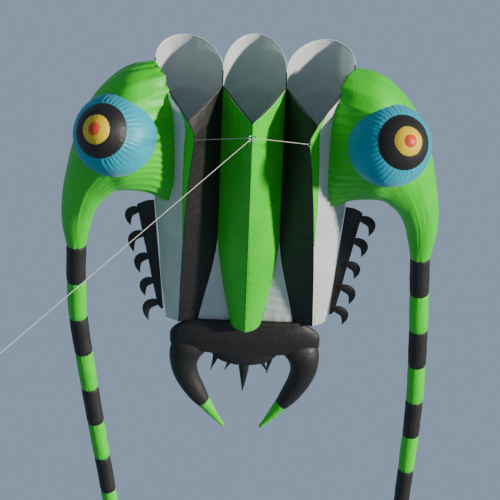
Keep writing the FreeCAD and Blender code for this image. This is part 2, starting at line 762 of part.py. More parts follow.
def make_bridle():
    """Webbing loop under each keel, and a line from each loop to the tow ring."""
    ring_reach = dim("ring_radius") + dim("ring_wire_radius") + GAP
    loop_reach = dim("keel_loop_radius") + dim("keel_loop_wire_radius") + GAP
    loops = []
    for name, side, line in (("left", -1, SIDE_RIDGE), ("centre", 1, CENTRE_RIDGE), ("right", 1, SIDE_RIDGE)):
        keel = in_station(BRIDLE_STATION, on_line(line, BRIDLE_STATION), side) + TO_ORIGIN
        to_tow = Vector(-keel.x, -keel.y, -keel.z).normalize()
        loop_centre = keel + Vector(0, 0, -loop_reach)
        normal = to_tow.cross(Vector(0, 1, 0.2)).normalize()
        loops.append(add_torus(f"{name}_keel_loop", loop_centre, normal, "keel_loop_radius", "keel_loop_wire_radius"))
        to_tow = (loop_centre * -1).normalize()
        start = loop_centre + to_tow * loop_reach
        add_straight(f"{name}_bridle_line", start, to_tow * -ring_reach, "bridle_radius")
    group = doc.addObject("Part::Compound", "keel_loops")
    group.Label = "keel_loops"
    group.Links = loops
    SUBPARTS.append(group)


def make_line():
    """Tow ring, the flying line's own eye through it, the line, and the eye and thimble at its far end."""
    ring = add_torus("tow_ring", Vector(), Vector(0, 1, 0), "ring_radius", "ring_wire_radius")
    SUBPARTS.append(ring)
    eye_radius, line_radius = dim("eye_splice_radius"), dim("line_radius")
    eye_centre = LINE_DIRECTION * (dim("ring_radius") + dim("eye_splice_gap"))
    eye_normal = LINE_DIRECTION.cross(Vector(0, 1, 0)).normalize()
    near_eye = doc.addObject("Part::Torus", "line_tow_eye")
    near_eye.Label = "line_tow_eye"
    near_eye.setExpression("Radius1", "dimensions.eye_splice_radius")
    near_eye.setExpression("Radius2", "dimensions.line_radius")
    near_eye.Placement = Placement(eye_centre, Rotation(Vector(0, 0, 1), eye_normal))
    SUBPARTS.append(near_eye)
    start = eye_centre + LINE_DIRECTION * (eye_radius + line_radius + dim("rope_gap"))
    end = start + LINE_DIRECTION * dim("line_run")
    add_straight("flying_line", start, end, "line_radius")
    far_radius = dim("thimble_bore_radius") + 2 * line_radius
    far_centre = end + LINE_DIRECTION * (far_radius + line_radius + dim("rope_gap"))
    far_eye = doc.addObject("Part::Torus", "line_end_eye")
    far_eye.Label = "line_end_eye"
    far_eye.Radius1 = far_radius
    far_eye.setExpression("Radius2", "dimensions.line_radius")
    far_eye.Placement = Placement(far_centre, Rotation(Vector(0, 0, 1), eye_normal))
    SUBPARTS.append(far_eye)
    turn = Rotation(Vector(0, 0, 1), eye_normal)
    half_width = eye_normal * (dim("thimble_width") / 2)
    shell = doc.addObject("Part::Cylinder", "thimble_outside")
    shell.setExpression("Radius", "dimensions.thimble_bore_radius + dimensions.line_radius - dimensions.rope_gap")
    bore = doc.addObject("Part::Cylinder", "thimble_bore")
    bore.setExpression("Radius", "dimensions.thimble_bore_radius")
    for piece in (shell, bore):
        piece.setExpression("Height", "dimensions.thimble_width")
        piece.Placement = Placement(far_centre - half_width, turn)
    SUBPARTS.append(add_cut("line_thimble", shell, bore))


def make_all():
    make_cells()
    make_ribs_and_tapes()
    make_cheeks_and_eyes()
    make_tails()
    lobe = make_tail_lobe()
    make_claws()
    make_spikes(lobe)
    for name, side in SIDES:
        make_leg_strip(f"{name}_leg_strip", side)
        make_legs(f"{name}_legs", side)
    make_bridle()
    make_line()


def check_all():
    """Stop before anything is written if an object is in error or a sub-part has no sound shape."""
    for item in doc.Objects:
        if {"Invalid", "Error"} & set(item.State):
            raise RuntimeError(f"{item.Name} is in error: {item.State}")
    for part in SUBPARTS:
        if part.Shape.isNull() or not part.Shape.isValid():
            raise RuntimeError(f"{part.Label} has no sound shape")


def export_all():
    os.makedirs("parts", exist_ok=True)
    for part in SUBPARTS:
        part.Shape.exportStep(f"parts/{part.Label}.step")


if __name__ == "__main__":
    make_all()
    doc.recompute()
    check_all()
    export_all()
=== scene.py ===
import math

import bmesh
import bpy
import numpy as np
from mathutils import Matrix, Vector
from mathutils.bvhtree import BVHTree


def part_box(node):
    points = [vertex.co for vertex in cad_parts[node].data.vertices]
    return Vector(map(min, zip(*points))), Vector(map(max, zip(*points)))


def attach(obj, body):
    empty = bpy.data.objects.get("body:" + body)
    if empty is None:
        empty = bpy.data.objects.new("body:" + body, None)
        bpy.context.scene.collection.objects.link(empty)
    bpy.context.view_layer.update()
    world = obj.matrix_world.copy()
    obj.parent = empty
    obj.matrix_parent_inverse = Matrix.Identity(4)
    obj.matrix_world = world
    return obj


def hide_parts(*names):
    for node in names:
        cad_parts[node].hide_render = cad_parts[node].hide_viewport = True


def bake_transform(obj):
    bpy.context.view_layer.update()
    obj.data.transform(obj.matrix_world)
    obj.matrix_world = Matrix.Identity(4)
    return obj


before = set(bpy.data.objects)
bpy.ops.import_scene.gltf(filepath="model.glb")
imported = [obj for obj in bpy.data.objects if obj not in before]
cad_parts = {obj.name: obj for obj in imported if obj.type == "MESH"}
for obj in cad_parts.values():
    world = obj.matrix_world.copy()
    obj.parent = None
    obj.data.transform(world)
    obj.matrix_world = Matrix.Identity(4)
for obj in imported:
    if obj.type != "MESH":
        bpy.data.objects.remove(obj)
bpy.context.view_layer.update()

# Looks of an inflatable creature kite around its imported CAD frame: cloth panels between the frame's seam
# lines, inflated cheeks and eyes, banded tails, a clawed tail lobe, and the taut flying line.

# ---- measures shared with the frame ------------------------------------------------------------------------

# Cell half-width, mouth height, how far a mouth's foot lies behind its crown, the body's length, and the point
# that the seam lines are measured from.
RIB_LOW, RIB_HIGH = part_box("right_rib")
W = (RIB_LOW.x + RIB_HIGH.x) / 2
H = 0.858
RAKE = 0.343
LENGTH = 2.754
NOSE = np.array((0.0, -0.180, 0.455))
SIDES = (("left", -1), ("right", 1))

# Seam lines: station along the body, then x in cell half-widths and z in mouth heights.
CENTRE_RIDGE = (
    (0, 0, 0), (0.3, 0, 0.10), (0.6, 0, 0.24),
    (0.85, 0, 0.37), (0.95, 0, 0.41), (1, 0, 0.43),
)
LOBE_EDGE = ((0, 1, 0.41), (0.6, 1, 0.52), (0.836, 0.775, 0.59), (1, 0.50, 0.64))
VALLEY = ((0, 1, 0.41), (0.6, 1, 0.52), (1, 1.568, 0.64))
SIDE_RIDGE = (
    (0, 2.02, 0), (0.075, 1.80, 0.015), (0.2, 1.89, 0.06),
    (0.34, 1.98, 0.14), (0.63, 2.10, 0.33), (1, 2.19, 0.58),
)
OUTER_LOW = (
    (0, 3.13, 0.56), (0.3, 3.10, 0.58), (0.54, 3.03, 0.60),
    (0.67, 2.89, 0.61), (0.81, 2.81, 0.63), (1, 2.60, 0.66),
)
OUTER_HIGH = (
    (0, 3.145, 0.69), (0.3, 3.16, 0.73), (0.54, 3.08, 0.74),
    (0.67, 2.94, 0.74), (0.81, 2.84, 0.735), (1, 2.62, 0.73),
)
RIB_TOP = ((0, 1, 0.58), (0.5, 1, 0.66), (1, 1, 0.72))
RIB_BOTTOM = ((0, 1, 0.42), (0.6, 1, 0.53), (1, 1, 0.655))
CENTRE_CROWN = ((0, 0, 1.0), (0.2, 0, 1.06), (0.5, 0, 1.01), (0.8, 0, 0.88), (1, 0, 0.79))
SIDE_CROWN = ((0, 2, 0.96), (0.2, 2, 1.01), (0.5, 2, 0.97), (0.8, 2, 0.86), (1, 2, 0.79))
STRIP_SHARE = ((0, 0.26, 0), (0.34, 0.16, 0), (0.62, 0.02, 0))
STRIP_END = 0.60
WEB_START = 0.605

# Rings of the round pieces: centre x, y, z in cell half-widths, level heading in degrees, half sizes.
CHEEK_RINGS = (
    (2.00, 2.84, 1.83, 0, 2.52, 0.55), (2.58, 2.84, 1.74, 0, 2.56, 1.00),
    (3.22, 2.61, 1.61, 0, 2.32, 1.40), (3.97, 2.58, 1.45, 3, 2.08, 1.61),
    (4.60, 3.05, 1.42, 12.5, 1.70, 1.42), (4.95, 3.61, 1.42, 21, 1.39, 1.23),
    (5.20, 4.19, 1.42, 28, 1.10, 1.03), (5.40, 4.90, 1.43, 39.5, 0.82, 0.82),
    (5.52, 5.63, 1.45, 59, 0.60, 0.60), (5.56, 6.32, 1.47, 80, 0.47, 0.46),
    (5.55, 7.13, 1.48, 90, 0.323, 0.322),
)
LOBE_RINGS = (
    (0, 10.35, 2.07, 90, 1.86, 0.25), (0, 10.44, 2.09, 90, 1.96, 0.29),
    (0, 10.71, 2.11, 90, 2.32, 0.39), (0, 11.03, 2.13, 90, 2.47, 0.47),
    (0, 11.36, 2.13, 90, 2.46, 0.45), (0, 11.47, 2.13, 90, 2.30, 0.44),
    (0, 11.54, 2.13, 90, 1.70, 0.42), (0, 11.60, 2.13, 90, 1.16, 0.41),
    (0, 11.75, 2.13, 90, 1.07, 0.40), (0, 11.92, 2.13, 90, 0.90, 0.35),
    (0, 12.03, 2.13, 90, 0.68, 0.26), (0, 12.09, 2.13, 90, 0.38, 0.14),
    (0, 12.10, 2.13, 90, 0.02, 0.01),
)
CLAW_RINGS = (
    (1.72, 11.16, 2.13, 88, 0.40, 0.20), (1.76, 11.30, 2.13, 88, 0.58, 0.34),
    (1.82, 11.52, 2.13, 88, 0.615, 0.43), (1.94, 11.81, 2.13, 88, 0.53, 0.44),
    (1.98, 12.23, 2.13, 95, 0.45, 0.41), (1.85, 12.77, 2.13, 108, 0.39, 0.37),
    (1.56, 13.35, 2.13, 122, 0.32, 0.31), (1.305, 13.76, 2.13, 128, 0.232, 0.232),
)
CLAW_TIP_RINGS = (
    (1.305, 13.76, 2.13, 128, 0.232, 0.232), (1.14, 14.0, 2.13, 127.5, 0.19, 0.185),
    (0.97, 14.26, 2.13, 126, 0.145, 0.14), (0.74, 14.58, 2.13, 126.5, 0.075, 0.075),
    (0.60, 14.77, 2.13, 127, 0.028, 0.028), (0.58, 14.79, 2.13, 127, 0.003, 0.003),
)
EYE_CENTRE = np.array((4.32, 2.16, 0.42))
EYE_AXIS = np.array((0.39, -0.592, -0.705))
# Each eye layer's radius, how far its centre stands beyond the layer before, its visible half angle in degrees,
# the depth of its gathers in mm and their number.
EYE_LAYERS = (
    ("eye_ball", 0.273, 0.121, 58.3, 2.6, 34),
    ("eye_iris", 0.174, 0.121, 45.3, 2.0, 22),
    ("eye_pupil", 0.091, 0.093, 38.0, 1.2, 12),
)
# The blue dome: its radius, where its cloth starts under the ball and where the ball covers it, in degrees from
# its axis, how wide it is where its gathers are counted, and their number.
DOME_RADIUS, DOME_TOP, BALL_EDGE, DOME_WAIST, DOME_GATHERS = 0.352, 39.0, 41.3, 0.72, 44
TAIL_TURNS = {
    "left": (0.5, 3.0, 7.5, 8.5, 8.5, 9.0, 9.0, 9.0, 9.0),
    "right": (-2.0, -2.0, -1.0, 0.0, 2.0, 3.0, 3.5, 3.5, 3.5),
}
BAND = 0.384
BAND_BODIES = ("front", "front", "front", "middle", "middle", "middle", "end", "end")


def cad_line(table):
    """A seam line's stations, x and z in metres as arrays."""
    rows = np.array(table, float)
    return rows[:, 0], rows[:, 1] * W, rows[:, 2] * H


def slopes_at(at, values, limited):
    """Slope at each knot of a cubic through the values; limited ones never overshoot."""
    steps = np.diff(at)
    rises = np.diff(values) / steps
    slopes = np.empty(len(values))
    slopes[0], slopes[-1] = rises[0], rises[-1]
    slopes[1:-1] = (rises[:-1] * steps[1:] + rises[1:] * steps[:-1]) / (steps[1:] + steps[:-1])
    if limited:
        turns = rises[:-1] * rises[1:] <= 0
        least = 3 * np.minimum(np.abs(rises[:-1]), np.abs(rises[1:]))
        inner = np.clip(slopes[1:-1], -least, least)
        slopes[1:-1] = np.where(turns, 0, inner)
    return slopes


def cubic(at, values, u, limited=True):
    """The values' smooth curve at u, an array."""
    slopes = slopes_at(at, values, limited)
    index = np.clip(np.searchsorted(at, u, side="right") - 1, 0, len(at) - 2)
    step = at[index + 1] - at[index]
    t = (u - at[index]) / step
    a, b = values[index], values[index + 1]
    da, db = slopes[index] * step, slopes[index + 1] * step
    return (
        a * (1 + 2 * t) * (1 - t) ** 2 + b * t * t * (3 - 2 * t)
        + da * t * (1 - t) ** 2 - db * t * t * (1 - t)
    )


def seam(table, u):
    """Points (x, z) of a seam line at the stations u, with shape (..., 2)."""
    at, x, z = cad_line(table)
    u = np.asarray(u, float)
    return np.stack([cubic(at, x, u), cubic(at, z, u)], axis=-1)


def placed(u, section, side=1):
    """Section points (x, z) at stations u, put into the row frame."""
    x, z = section[..., 0], section[..., 1]
    y = (1 - u) * RAKE * (1 - z / H) + u * LENGTH
    return np.stack([side * x, y, z], axis=-1) + NOSE


def hashed(i, j, seed):
    raw = np.sin(i * 127.1 + j * 311.7 + seed * 74.7) * 43758.5453
    return raw - np.floor(raw)


def ripple(x, y, seed):
    """Smooth noise from -1 to 1 over a plane, the same each run."""
    i, j = np.floor(x), np.floor(y)
    s, t = x - i, y - j
    s, t = s * s * (3 - 2 * s), t * t * (3 - 2 * t)
    low = hashed(i, j, seed) * (1 - s) + hashed(i + 1, j, seed) * s
    high = hashed(i, j + 1, seed) * (1 - s) + hashed(i + 1, j + 1, seed) * s
    return 2 * (low * (1 - t) + high * t) - 1


def fading(distance, reach):
    """1 at a seam, falling away with the distance from it."""
    return np.exp(-distance / reach)


def rising(distance, reach):
    """0 at a seam, 1 from the reach onwards."""
    return np.clip(distance / reach, 0, 1)


def folds(along, pitch, seed, away=0.0):
    """Cloth gathers across a seam: rounded ridges of uneven width, as heights from -1 to 1."""
    at = along / pitch + 0.35 * ripple(along / pitch / 3.1, away, seed)
    sharp = 1 - 2 * np.abs(np.sin(np.pi * at))
    return 0.75 * sharp + 0.35 * ripple(at * 1.7, away * 3, seed + 5)


def grid_normals(points, closed=False):
    """Unit normals of a grid of points; the second axis may close on itself."""
    if closed:
        across = np.roll(points, -1, 1) - np.roll(points, 1, 1)
    else:
        across = np.gradient(points, axis=1)
    normals = np.cross(np.gradient(points, axis=0), across)
    size = np.linalg.norm(normals, axis=-1, keepdims=True)
    return normals / np.maximum(size, 1e-12)


def outward_hand(points, centre):
    """1 where a closed grid's normals point away from its centre line, otherwise -1."""
    return np.sign((grid_normals(points, True) * (points - centre)).sum(axis=-1).mean())


def run_lengths(points, axis):
    """Distance travelled along a grid's axis, from its start."""
    steps = np.linalg.norm(np.diff(points, axis=axis), axis=-1)
    pad = [(0, 0), (0, 0)]
    pad[axis] = (1, 0)
    return np.pad(np.cumsum(steps, axis=axis), pad)


def grid_mesh(name, points, closed=False, seam_away=None, flip=False, caps=()):
    """Smooth quad mesh over a grid of points, with UVs in metres and the distance to the nearest seam."""
    rows, cols = points.shape[:2]
    index = np.arange(rows * cols).reshape(rows, cols)
    right = np.roll(index, -1, 1) if closed else index[:, 1:]
    here = index if closed else index[:, :-1]
    quads = np.stack([here[:-1], here[1:], right[1:], right[:-1]], axis=-1).reshape(-1, 4)
    if flip:
        quads = quads[:, ::-1]
    faces = quads.tolist()
    for row in caps:
        ring = index[row].tolist()
        faces.append(ring if (row == 0) != flip else ring[::-1])
    mesh = bpy.data.meshes.new(name)
    mesh.from_pydata(points.reshape(-1, 3).tolist(), [], faces)
    along = run_lengths(points, 0)
    across = run_lengths(points, 1)
    across = across - across[:, -1:] / 2
    turn = np.full((rows, 1), 0.0)
    if closed:
        turn = across[:, -1:] + np.linalg.norm(points[:, :1] - points[:, -1:], axis=-1)
    corner_u = np.empty((len(mesh.loops), 2))
    loops = np.empty(len(mesh.loops), int)
    mesh.loops.foreach_get("vertex_index", loops)
    corner_u[:, 0] = across.reshape(-1)[loops]
    corner_u[:, 1] = along.reshape(-1)[loops]
    if closed:
        wrap = len(quads) * 4
        low = corner_u[:wrap].reshape(-1, 4, 2)
        rows_of = loops[:wrap].reshape(-1, 4) // cols
        last = (loops[:wrap].reshape(-1, 4) % cols).max(axis=1) == cols - 1
        first = loops[:wrap].reshape(-1, 4) % cols == 0
        fix = last[:, None] & first
        low[..., 0] = np.where(fix, turn[rows_of, 0], low[..., 0])
    layer = mesh.uv_layers.new(name="cloth")
    layer.data.foreach_set("uv", corner_u.astype(np.float32).ravel())
    away = np.full(rows * cols, 1.0) if seam_away is None else seam_away.reshape(-1)
    attribute = mesh.attributes.new("seam_away", "FLOAT", "POINT")
    attribute.data.foreach_set("value", away.astype(np.float32))
    mesh.shade_smooth()
    mesh.validate()
    return mesh


def add_piece(name, mesh, material, replaces=(), wall=0.0):
    """Object for a finished mesh, with its finish and the CAD nodes that it stands for."""
    piece = bpy.data.objects.new(name, mesh)
    bpy.context.scene.collection.objects.link(piece)
    mesh.materials.append(material)
    if wall:
        thick = piece.modifiers.new("cloth_wall", "SOLIDIFY")
        thick.thickness = wall
        thick.offset = 0
    if replaces:
        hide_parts(*replaces)
    return piece


# ---- materials ---------------------------------------------------------------------------------------------

class Graph:
    """Small helper that adds and links shader nodes."""

    def __init__(self, name):
        self.material = bpy.data.materials.new(name)
        self.material.use_nodes = True
        self.tree = self.material.node_tree
        self.bsdf = self.tree.nodes["Principled BSDF"]
        self.output = self.tree.nodes["Material Output"]

    def node(self, kind, **values):
        made = self.tree.nodes.new(kind)
        for key, value in values.items():
            setattr(made, key, value)
        return made

    def link(self, source, target):
        self.tree.links.new(source, target)

    def fill(self, socket, value):
        if hasattr(value, "is_output"):
            self.link(value, socket)
        else:
            socket.default_value = value

    def math(self, operation, a, b=0.0, c=0.0, clamp=False):
        made = self.node("ShaderNodeMath", operation=operation, use_clamp=clamp)
        for socket, value in zip(made.inputs, (a, b, c)):
            self.fill(socket, value)
        return made.outputs[0]

    def noise(self, vector, scale, detail=2.0, distortion=0.0):
        made = self.node("ShaderNodeTexNoise")
        self.fill(made.inputs["Vector"], vector)
        made.inputs["Scale"].default_value = scale
        made.inputs["Detail"].default_value = detail
        made.inputs["Distortion"].default_value = distortion
        return made.outputs["Fac"]

    def ramp(self, value, low, high, start, end):
        made = self.node("ShaderNodeMapRange")
        self.fill(made.inputs["Value"], value)
        for name, number in (("From Min", low), ("From Max", high), ("To Min", start), ("To Max", end)):
            made.inputs[name].default_value = number
        return made.outputs["Result"]

    def mix(self, share, a, b):
        made = self.node("ShaderNodeMix", data_type="RGBA")
        self.fill(made.inputs["Factor"], share)
        self.fill(made.inputs[6], a)
        self.fill(made.inputs[7], b)
        return made.outputs[2]

    def stretched(self, vector, scale):
        made = self.node("ShaderNodeMapping")
        self.link(vector, made.inputs["Vector"])
        made.inputs["Scale"].default_value = scale
        return made.outputs["Vector"]

    def bump(self, height, strength, distance, normal=None):
        made = self.node("ShaderNodeBump")
        made.inputs["Strength"].default_value = strength
        made.inputs["Distance"].default_value = distance
        self.link(height, made.inputs["Height"])
        if normal is not None:
            self.link(normal, made.inputs["Normal"])
        return made.outputs["Normal"]


def rgba(colour, share=1.0):
    return tuple(channel * share for channel in colour) + (1.0,)


RIP_PITCH = 0.0075
HEM_WIDTH = 0.014


def ripstop(name, colour, deep, through, roughness=0.46, sheen=0.12, thread=0.75, glow=None):
    """Coated ripstop nylon: square rip grid, crinkle, faded patches, stitched hems, light let through."""
    g = Graph(name)
    space = g.node("ShaderNodeTexCoord").outputs["Object"]
    cloth_map = g.node("ShaderNodeUVMap", uv_map="cloth").outputs["UV"]
    split = g.node("ShaderNodeSeparateXYZ")
    g.link(cloth_map, split.inputs[0])
    lines = []
    for axis in ("X", "Y"):
        cell = g.math("FRACT", g.math("DIVIDE", split.outputs[axis], RIP_PITCH))
        lines.append(g.math("LESS_THAN", cell, 0.16))
    rip = g.math("MAXIMUM", *lines)
    away = g.node("ShaderNodeAttribute", attribute_name="seam_away").outputs["Fac"]
    hem = g.ramp(away, HEM_WIDTH, HEM_WIDTH + 0.0015, 1.0, 0.0)
    near_row = g.math("LESS_THAN", g.math("ABSOLUTE", g.math("SUBTRACT", away, 0.0045)), 0.0011)
    far_row = g.math("LESS_THAN", g.math("ABSOLUTE", g.math("SUBTRACT", away, 0.0115)), 0.0011)
    dashes = g.math("GREATER_THAN", g.math("FRACT", g.math("DIVIDE", split.outputs["Y"], 0.0042)), 0.3)
    stitch = g.math("MULTIPLY", g.math("MAXIMUM", near_row, far_row), dashes)
    patches = g.noise(space, 2.3, 3.0)
    soil = g.noise(space, 9.0, 4.0, 0.4)
    tone = g.mix(g.ramp(patches, 0.3, 0.7, 0.0, 1.0), rgba(colour), rgba(deep))
    tone = g.mix(g.ramp(soil, 0.55, 0.8, 0.0, 0.18), tone, rgba(deep, 0.8))
    tone = g.mix(g.math("MULTIPLY", rip, 0.10), tone, rgba(deep, 0.6))
    tone = g.mix(g.math("MULTIPLY", hem, 0.35), tone, rgba(deep, 0.7))
    tone = g.mix(stitch, tone, rgba(colour, thread))
    crinkle = g.noise(g.stretched(space, (9.0, 5.0, 9.0)), 2.2, 4.0, 0.8)
    weave = g.noise(space, 420.0, 1.0)
    normal = g.bump(crinkle, 0.32, 0.012)
    threads = g.math("ADD", g.math("MULTIPLY", rip, 0.6), g.math("MULTIPLY", weave, 0.4))
    normal = g.bump(threads, 0.18, 0.0006, normal)
    normal = g.bump(stitch, 0.35, 0.0012, normal)
    bsdf = g.bsdf
    g.link(tone, bsdf.inputs["Base Color"])
    g.link(g.ramp(soil, 0.2, 0.8, roughness - 0.07, roughness + 0.10), bsdf.inputs["Roughness"])
    g.link(normal, bsdf.inputs["Normal"])
    bsdf.inputs["Sheen Weight"].default_value = sheen
    bsdf.inputs["Sheen Roughness"].default_value = 0.42
    bsdf.inputs["Specular IOR Level"].default_value = 0.42
    if through:
        lit = g.node("ShaderNodeBsdfTranslucent")
        g.link(g.mix(0.5, tone, rgba(glow or colour)), lit.inputs["Color"])
        g.link(normal, lit.inputs["Normal"])
        blend = g.node("ShaderNodeMixShader")
        share = g.math("MULTIPLY", g.ramp(hem, 0.0, 1.0, 1.0, 0.45), through)
        g.link(share, blend.inputs[0])
        g.link(bsdf.outputs[0], blend.inputs[1])
        g.link(lit.outputs[0], blend.inputs[2])
        g.link(blend.outputs[0], g.output.inputs["Surface"])
    return g.material


GREEN = ripstop(
    "ripstop_green", (0.040, 0.56, 0.008), (0.026, 0.45, 0.005), 0.14, sheen=0.04, glow=(0.10, 0.70, 0.02),
)
BLACK = ripstop(
    "ripstop_black", (0.0085, 0.0065, 0.0055), (0.006, 0.0045, 0.004), 0.0,
    roughness=0.55, sheen=0.0, thread=3.0,
)
WHITE = ripstop("ripstop_white", (0.70, 0.71, 0.68), (0.60, 0.63, 0.61), 0.42, glow=(0.66, 0.76, 0.80))
BLUE = ripstop("ripstop_blue", (0.010, 0.40, 0.52), (0.006, 0.28, 0.38), 0.25, glow=(0.03, 0.50, 0.60))
YELLOW = ripstop("ripstop_yellow", (0.78, 0.56, 0.012), (0.66, 0.44, 0.010), 0.22)
RED = ripstop("ripstop_red", (0.66, 0.085, 0.018), (0.50, 0.045, 0.012), 0.18)


def webbing():
    """Woven nylon webbing: fine diagonal ribs, dark."""
    g = Graph("woven_webbing")
    space = g.node("ShaderNodeTexCoord").outputs["Object"]
    wave = g.node("ShaderNodeTexWave", wave_type="BANDS", bands_direction="DIAGONAL")
    g.link(space, wave.inputs["Vector"])
    wave.inputs["Scale"].default_value = 220.0
    wave.inputs["Distortion"].default_value = 1.5
    tone = g.mix(wave.outputs["Fac"], rgba((0.018, 0.017, 0.017)), rgba((0.060, 0.058, 0.055)))
    g.link(tone, g.bsdf.inputs["Base Color"])
    g.link(g.bump(wave.outputs["Fac"], 0.6, 0.0008), g.bsdf.inputs["Normal"])
    g.link(g.ramp(g.noise(space, 40.0), 0.3, 0.7, 0.62, 0.85), g.bsdf.inputs["Roughness"])
    g.bsdf.inputs["Sheen Weight"].default_value = 0.25
    return g.material


def braided_line():
    """Braided polyester line: two crossed sets of strands, with uneven patches of tone."""
    g = Graph("braided_line")
    space = g.node("ShaderNodeTexCoord").outputs["Object"]
    waves = []
    for direction in ("X", "Z"):
        wave = g.node("ShaderNodeTexWave", wave_type="BANDS", bands_direction=direction)
        g.link(space, wave.inputs["Vector"])
        wave.inputs["Scale"].default_value = 160.0
        wave.inputs["Distortion"].default_value = 2.0
        waves.append(wave.outputs["Fac"])
    strands = g.math("MULTIPLY", *waves)
    tone = g.mix(strands, rgba((0.30, 0.28, 0.22)), rgba((0.78, 0.74, 0.64)))
    tone = g.mix(g.ramp(g.noise(space, 6.0), 0.5, 0.8, 0.0, 0.35), tone, rgba((0.42, 0.38, 0.30)))
    g.link(tone, g.bsdf.inputs["Base Color"])
    g.link(g.bump(strands, 0.7, 0.0006), g.bsdf.inputs["Normal"])
    g.link(g.ramp(strands, 0.0, 1.0, 0.75, 0.5), g.bsdf.inputs["Roughness"])
    g.bsdf.inputs["Sheen Weight"].default_value = 0.2
    return g.material


def steel():
    """Polished stainless steel with fine scuffs."""
    g = Graph("stainless_steel")
    space = g.node("ShaderNodeTexCoord").outputs["Object"]
    scuffs = g.noise(g.stretched(space, (60.0, 400.0, 60.0)), 1.5, 5.0)
    g.link(g.mix(g.ramp(scuffs, 0.4, 0.7, 0.0, 1.0), rgba((0.62, 0.62, 0.61)), rgba((0.40, 0.40, 0.41))),
           g.bsdf.inputs["Base Color"])
    g.link(g.ramp(scuffs, 0.3, 0.7, 0.16, 0.38), g.bsdf.inputs["Roughness"])
    g.link(g.bump(scuffs, 0.12, 0.0004), g.bsdf.inputs["Normal"])
    g.bsdf.inputs["Metallic"].default_value = 1.0
    return g.material


def plain_stage(name, colour):
    g = Graph(name)
    space = g.node("ShaderNodeTexCoord").outputs["Object"]
    tone = g.mix(g.ramp(g.noise(space, 0.4), 0.3, 0.7, 0.0, 1.0), rgba(colour), rgba(colour, 0.97))
    g.link(tone, g.bsdf.inputs["Base Color"])
    g.bsdf.inputs["Roughness"].default_value = 0.9
    return g.material


WEBBING, LINE, STEEL = webbing(), braided_line(), steel()


# ---- camera, light and floor -------------------------------------------------------------------------------

TARGET = Vector((0.016, 1.708, 0.841))
VIEW_DISTANCE = 36.0
VIEW_ELEVATION = math.radians(55.0)
VIEW_ROLL = math.radians(2.2)
VIEW_ANGLE = math.radians(6.82)


def make_camera():
    """Camera below and ahead of the kite, looking up at it, tilted a little as the kite hangs."""
    forward = Vector((0, math.cos(VIEW_ELEVATION), math.sin(VIEW_ELEVATION)))
    right = Vector((1, 0, 0))
    up = right.cross(forward)
    camera_right = right * math.cos(VIEW_ROLL) + up * math.sin(VIEW_ROLL)
    camera_up = up * math.cos(VIEW_ROLL) - right * math.sin(VIEW_ROLL)
    turn = Matrix((camera_right, camera_up, -forward)).transposed()
    data = bpy.data.cameras.new("camera")
    data.sensor_width = 36.0
    data.lens = 18.0 / math.tan(VIEW_ANGLE / 2)
    data.clip_start, data.clip_end = 0.5, 600.0
    camera = bpy.data.objects.new("camera", data)
    camera.matrix_world = Matrix.Translation(TARGET - forward * VIEW_DISTANCE) @ turn.to_4x4()
    bpy.context.scene.collection.objects.link(camera)
    bpy.context.scene.camera = camera


def add_sun(name, towards, energy, angle, colour):
    data = bpy.data.lights.new(name, "SUN")
    data.energy, data.angle, data.color = energy, math.radians(angle), colour
    lamp = bpy.data.objects.new(name, data)
    lamp.rotation_mode = "QUATERNION"
    lamp.rotation_quaternion = Vector(towards).to_track_quat("Z", "Y")
    bpy.context.scene.collection.objects.link(lamp)


def make_light():
    world = bpy.data.worlds.new("studio")
    bpy.context.scene.world = world
    world.use_nodes = True
    backdrop = world.node_tree.nodes["Background"]
    backdrop.inputs["Color"].default_value = (0.52, 0.70, 0.92, 1)
    backdrop.inputs["Strength"].default_value = 0.48
    add_sun("key", (0.86, -0.30, -0.34), 9.0, 5.0, (1.0, 0.95, 0.86))
    add_sun("fill", (0.1, -0.60, -0.75), 0.25, 50.0, (0.90, 0.95, 1.0))


def make_floor():
    """Wide pale ground far below, under a flying kite."""
    mesh = bpy.data.meshes.new("floor")
    reach, depth = 14.0, -42.0
    mesh.from_pydata(
        [(-reach, -reach, depth), (reach, -reach, depth), (reach, reach, depth), (-reach, reach, depth)],
        [], [(0, 1, 2, 3)],
    )
    mesh.materials.append(plain_stage("pale_floor", (0.72, 0.74, 0.76)))
    floor = bpy.data.objects.new("floor", mesh)
    bpy.context.scene.collection.objects.link(floor)


make_camera()
make_light()
make_floor()


# ---- flying line, its eyes, and the bridle -----------------------------------------------------------------

LINE_START = Vector((-0.028644, 0.001978, -0.044905))
LINE_END = Vector((-1.941852, 0.134106, -3.044202))
LINE_DIAMETER = 0.006


def make_line():
    curve = bpy.data.curves.new("flying_line_rope", "CURVE")
    curve.dimensions = "3D"
    spline = curve.splines.new("NURBS")
    spline.points.add(2)
    for point, share in zip(spline.points, (0.0, 0.5, 1.0)):
        point.co = (*LINE_START.lerp(LINE_END, share), 1.0)
    spline.order_u = 3
    spline.use_endpoint_u = True
    curve.bevel_depth = LINE_DIAMETER / 2
    curve.bevel_resolution = 4
    curve.use_fill_caps = True
    curve.materials.append(LINE)
    rope = bpy.data.objects.new("flying_line_rope", curve)
    bpy.context.scene.collection.objects.link(rope)
    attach(rope, "flying_line")
    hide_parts("flying_line")


def paint_node(node, material):
    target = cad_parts[node]
    target.data.materials.clear()
    target.data.materials.append(material)


def make_hardware_looks():
    for node in ("tow_ring", "line_thimble"):
        paint_node(node, STEEL)
    bridle = [f"{name}_bridle_line" for name in ("left", "centre", "right")]
    for node in ["line_tow_eye", "line_end_eye"] + bridle:
        paint_node(node, LINE)
    paint_node("keel_loops", WEBBING)


make_line()
make_hardware_looks()


# ---- cloth panels between the seam lines -------------------------------------------------------------------

CLOTH_WALL = 0.0014


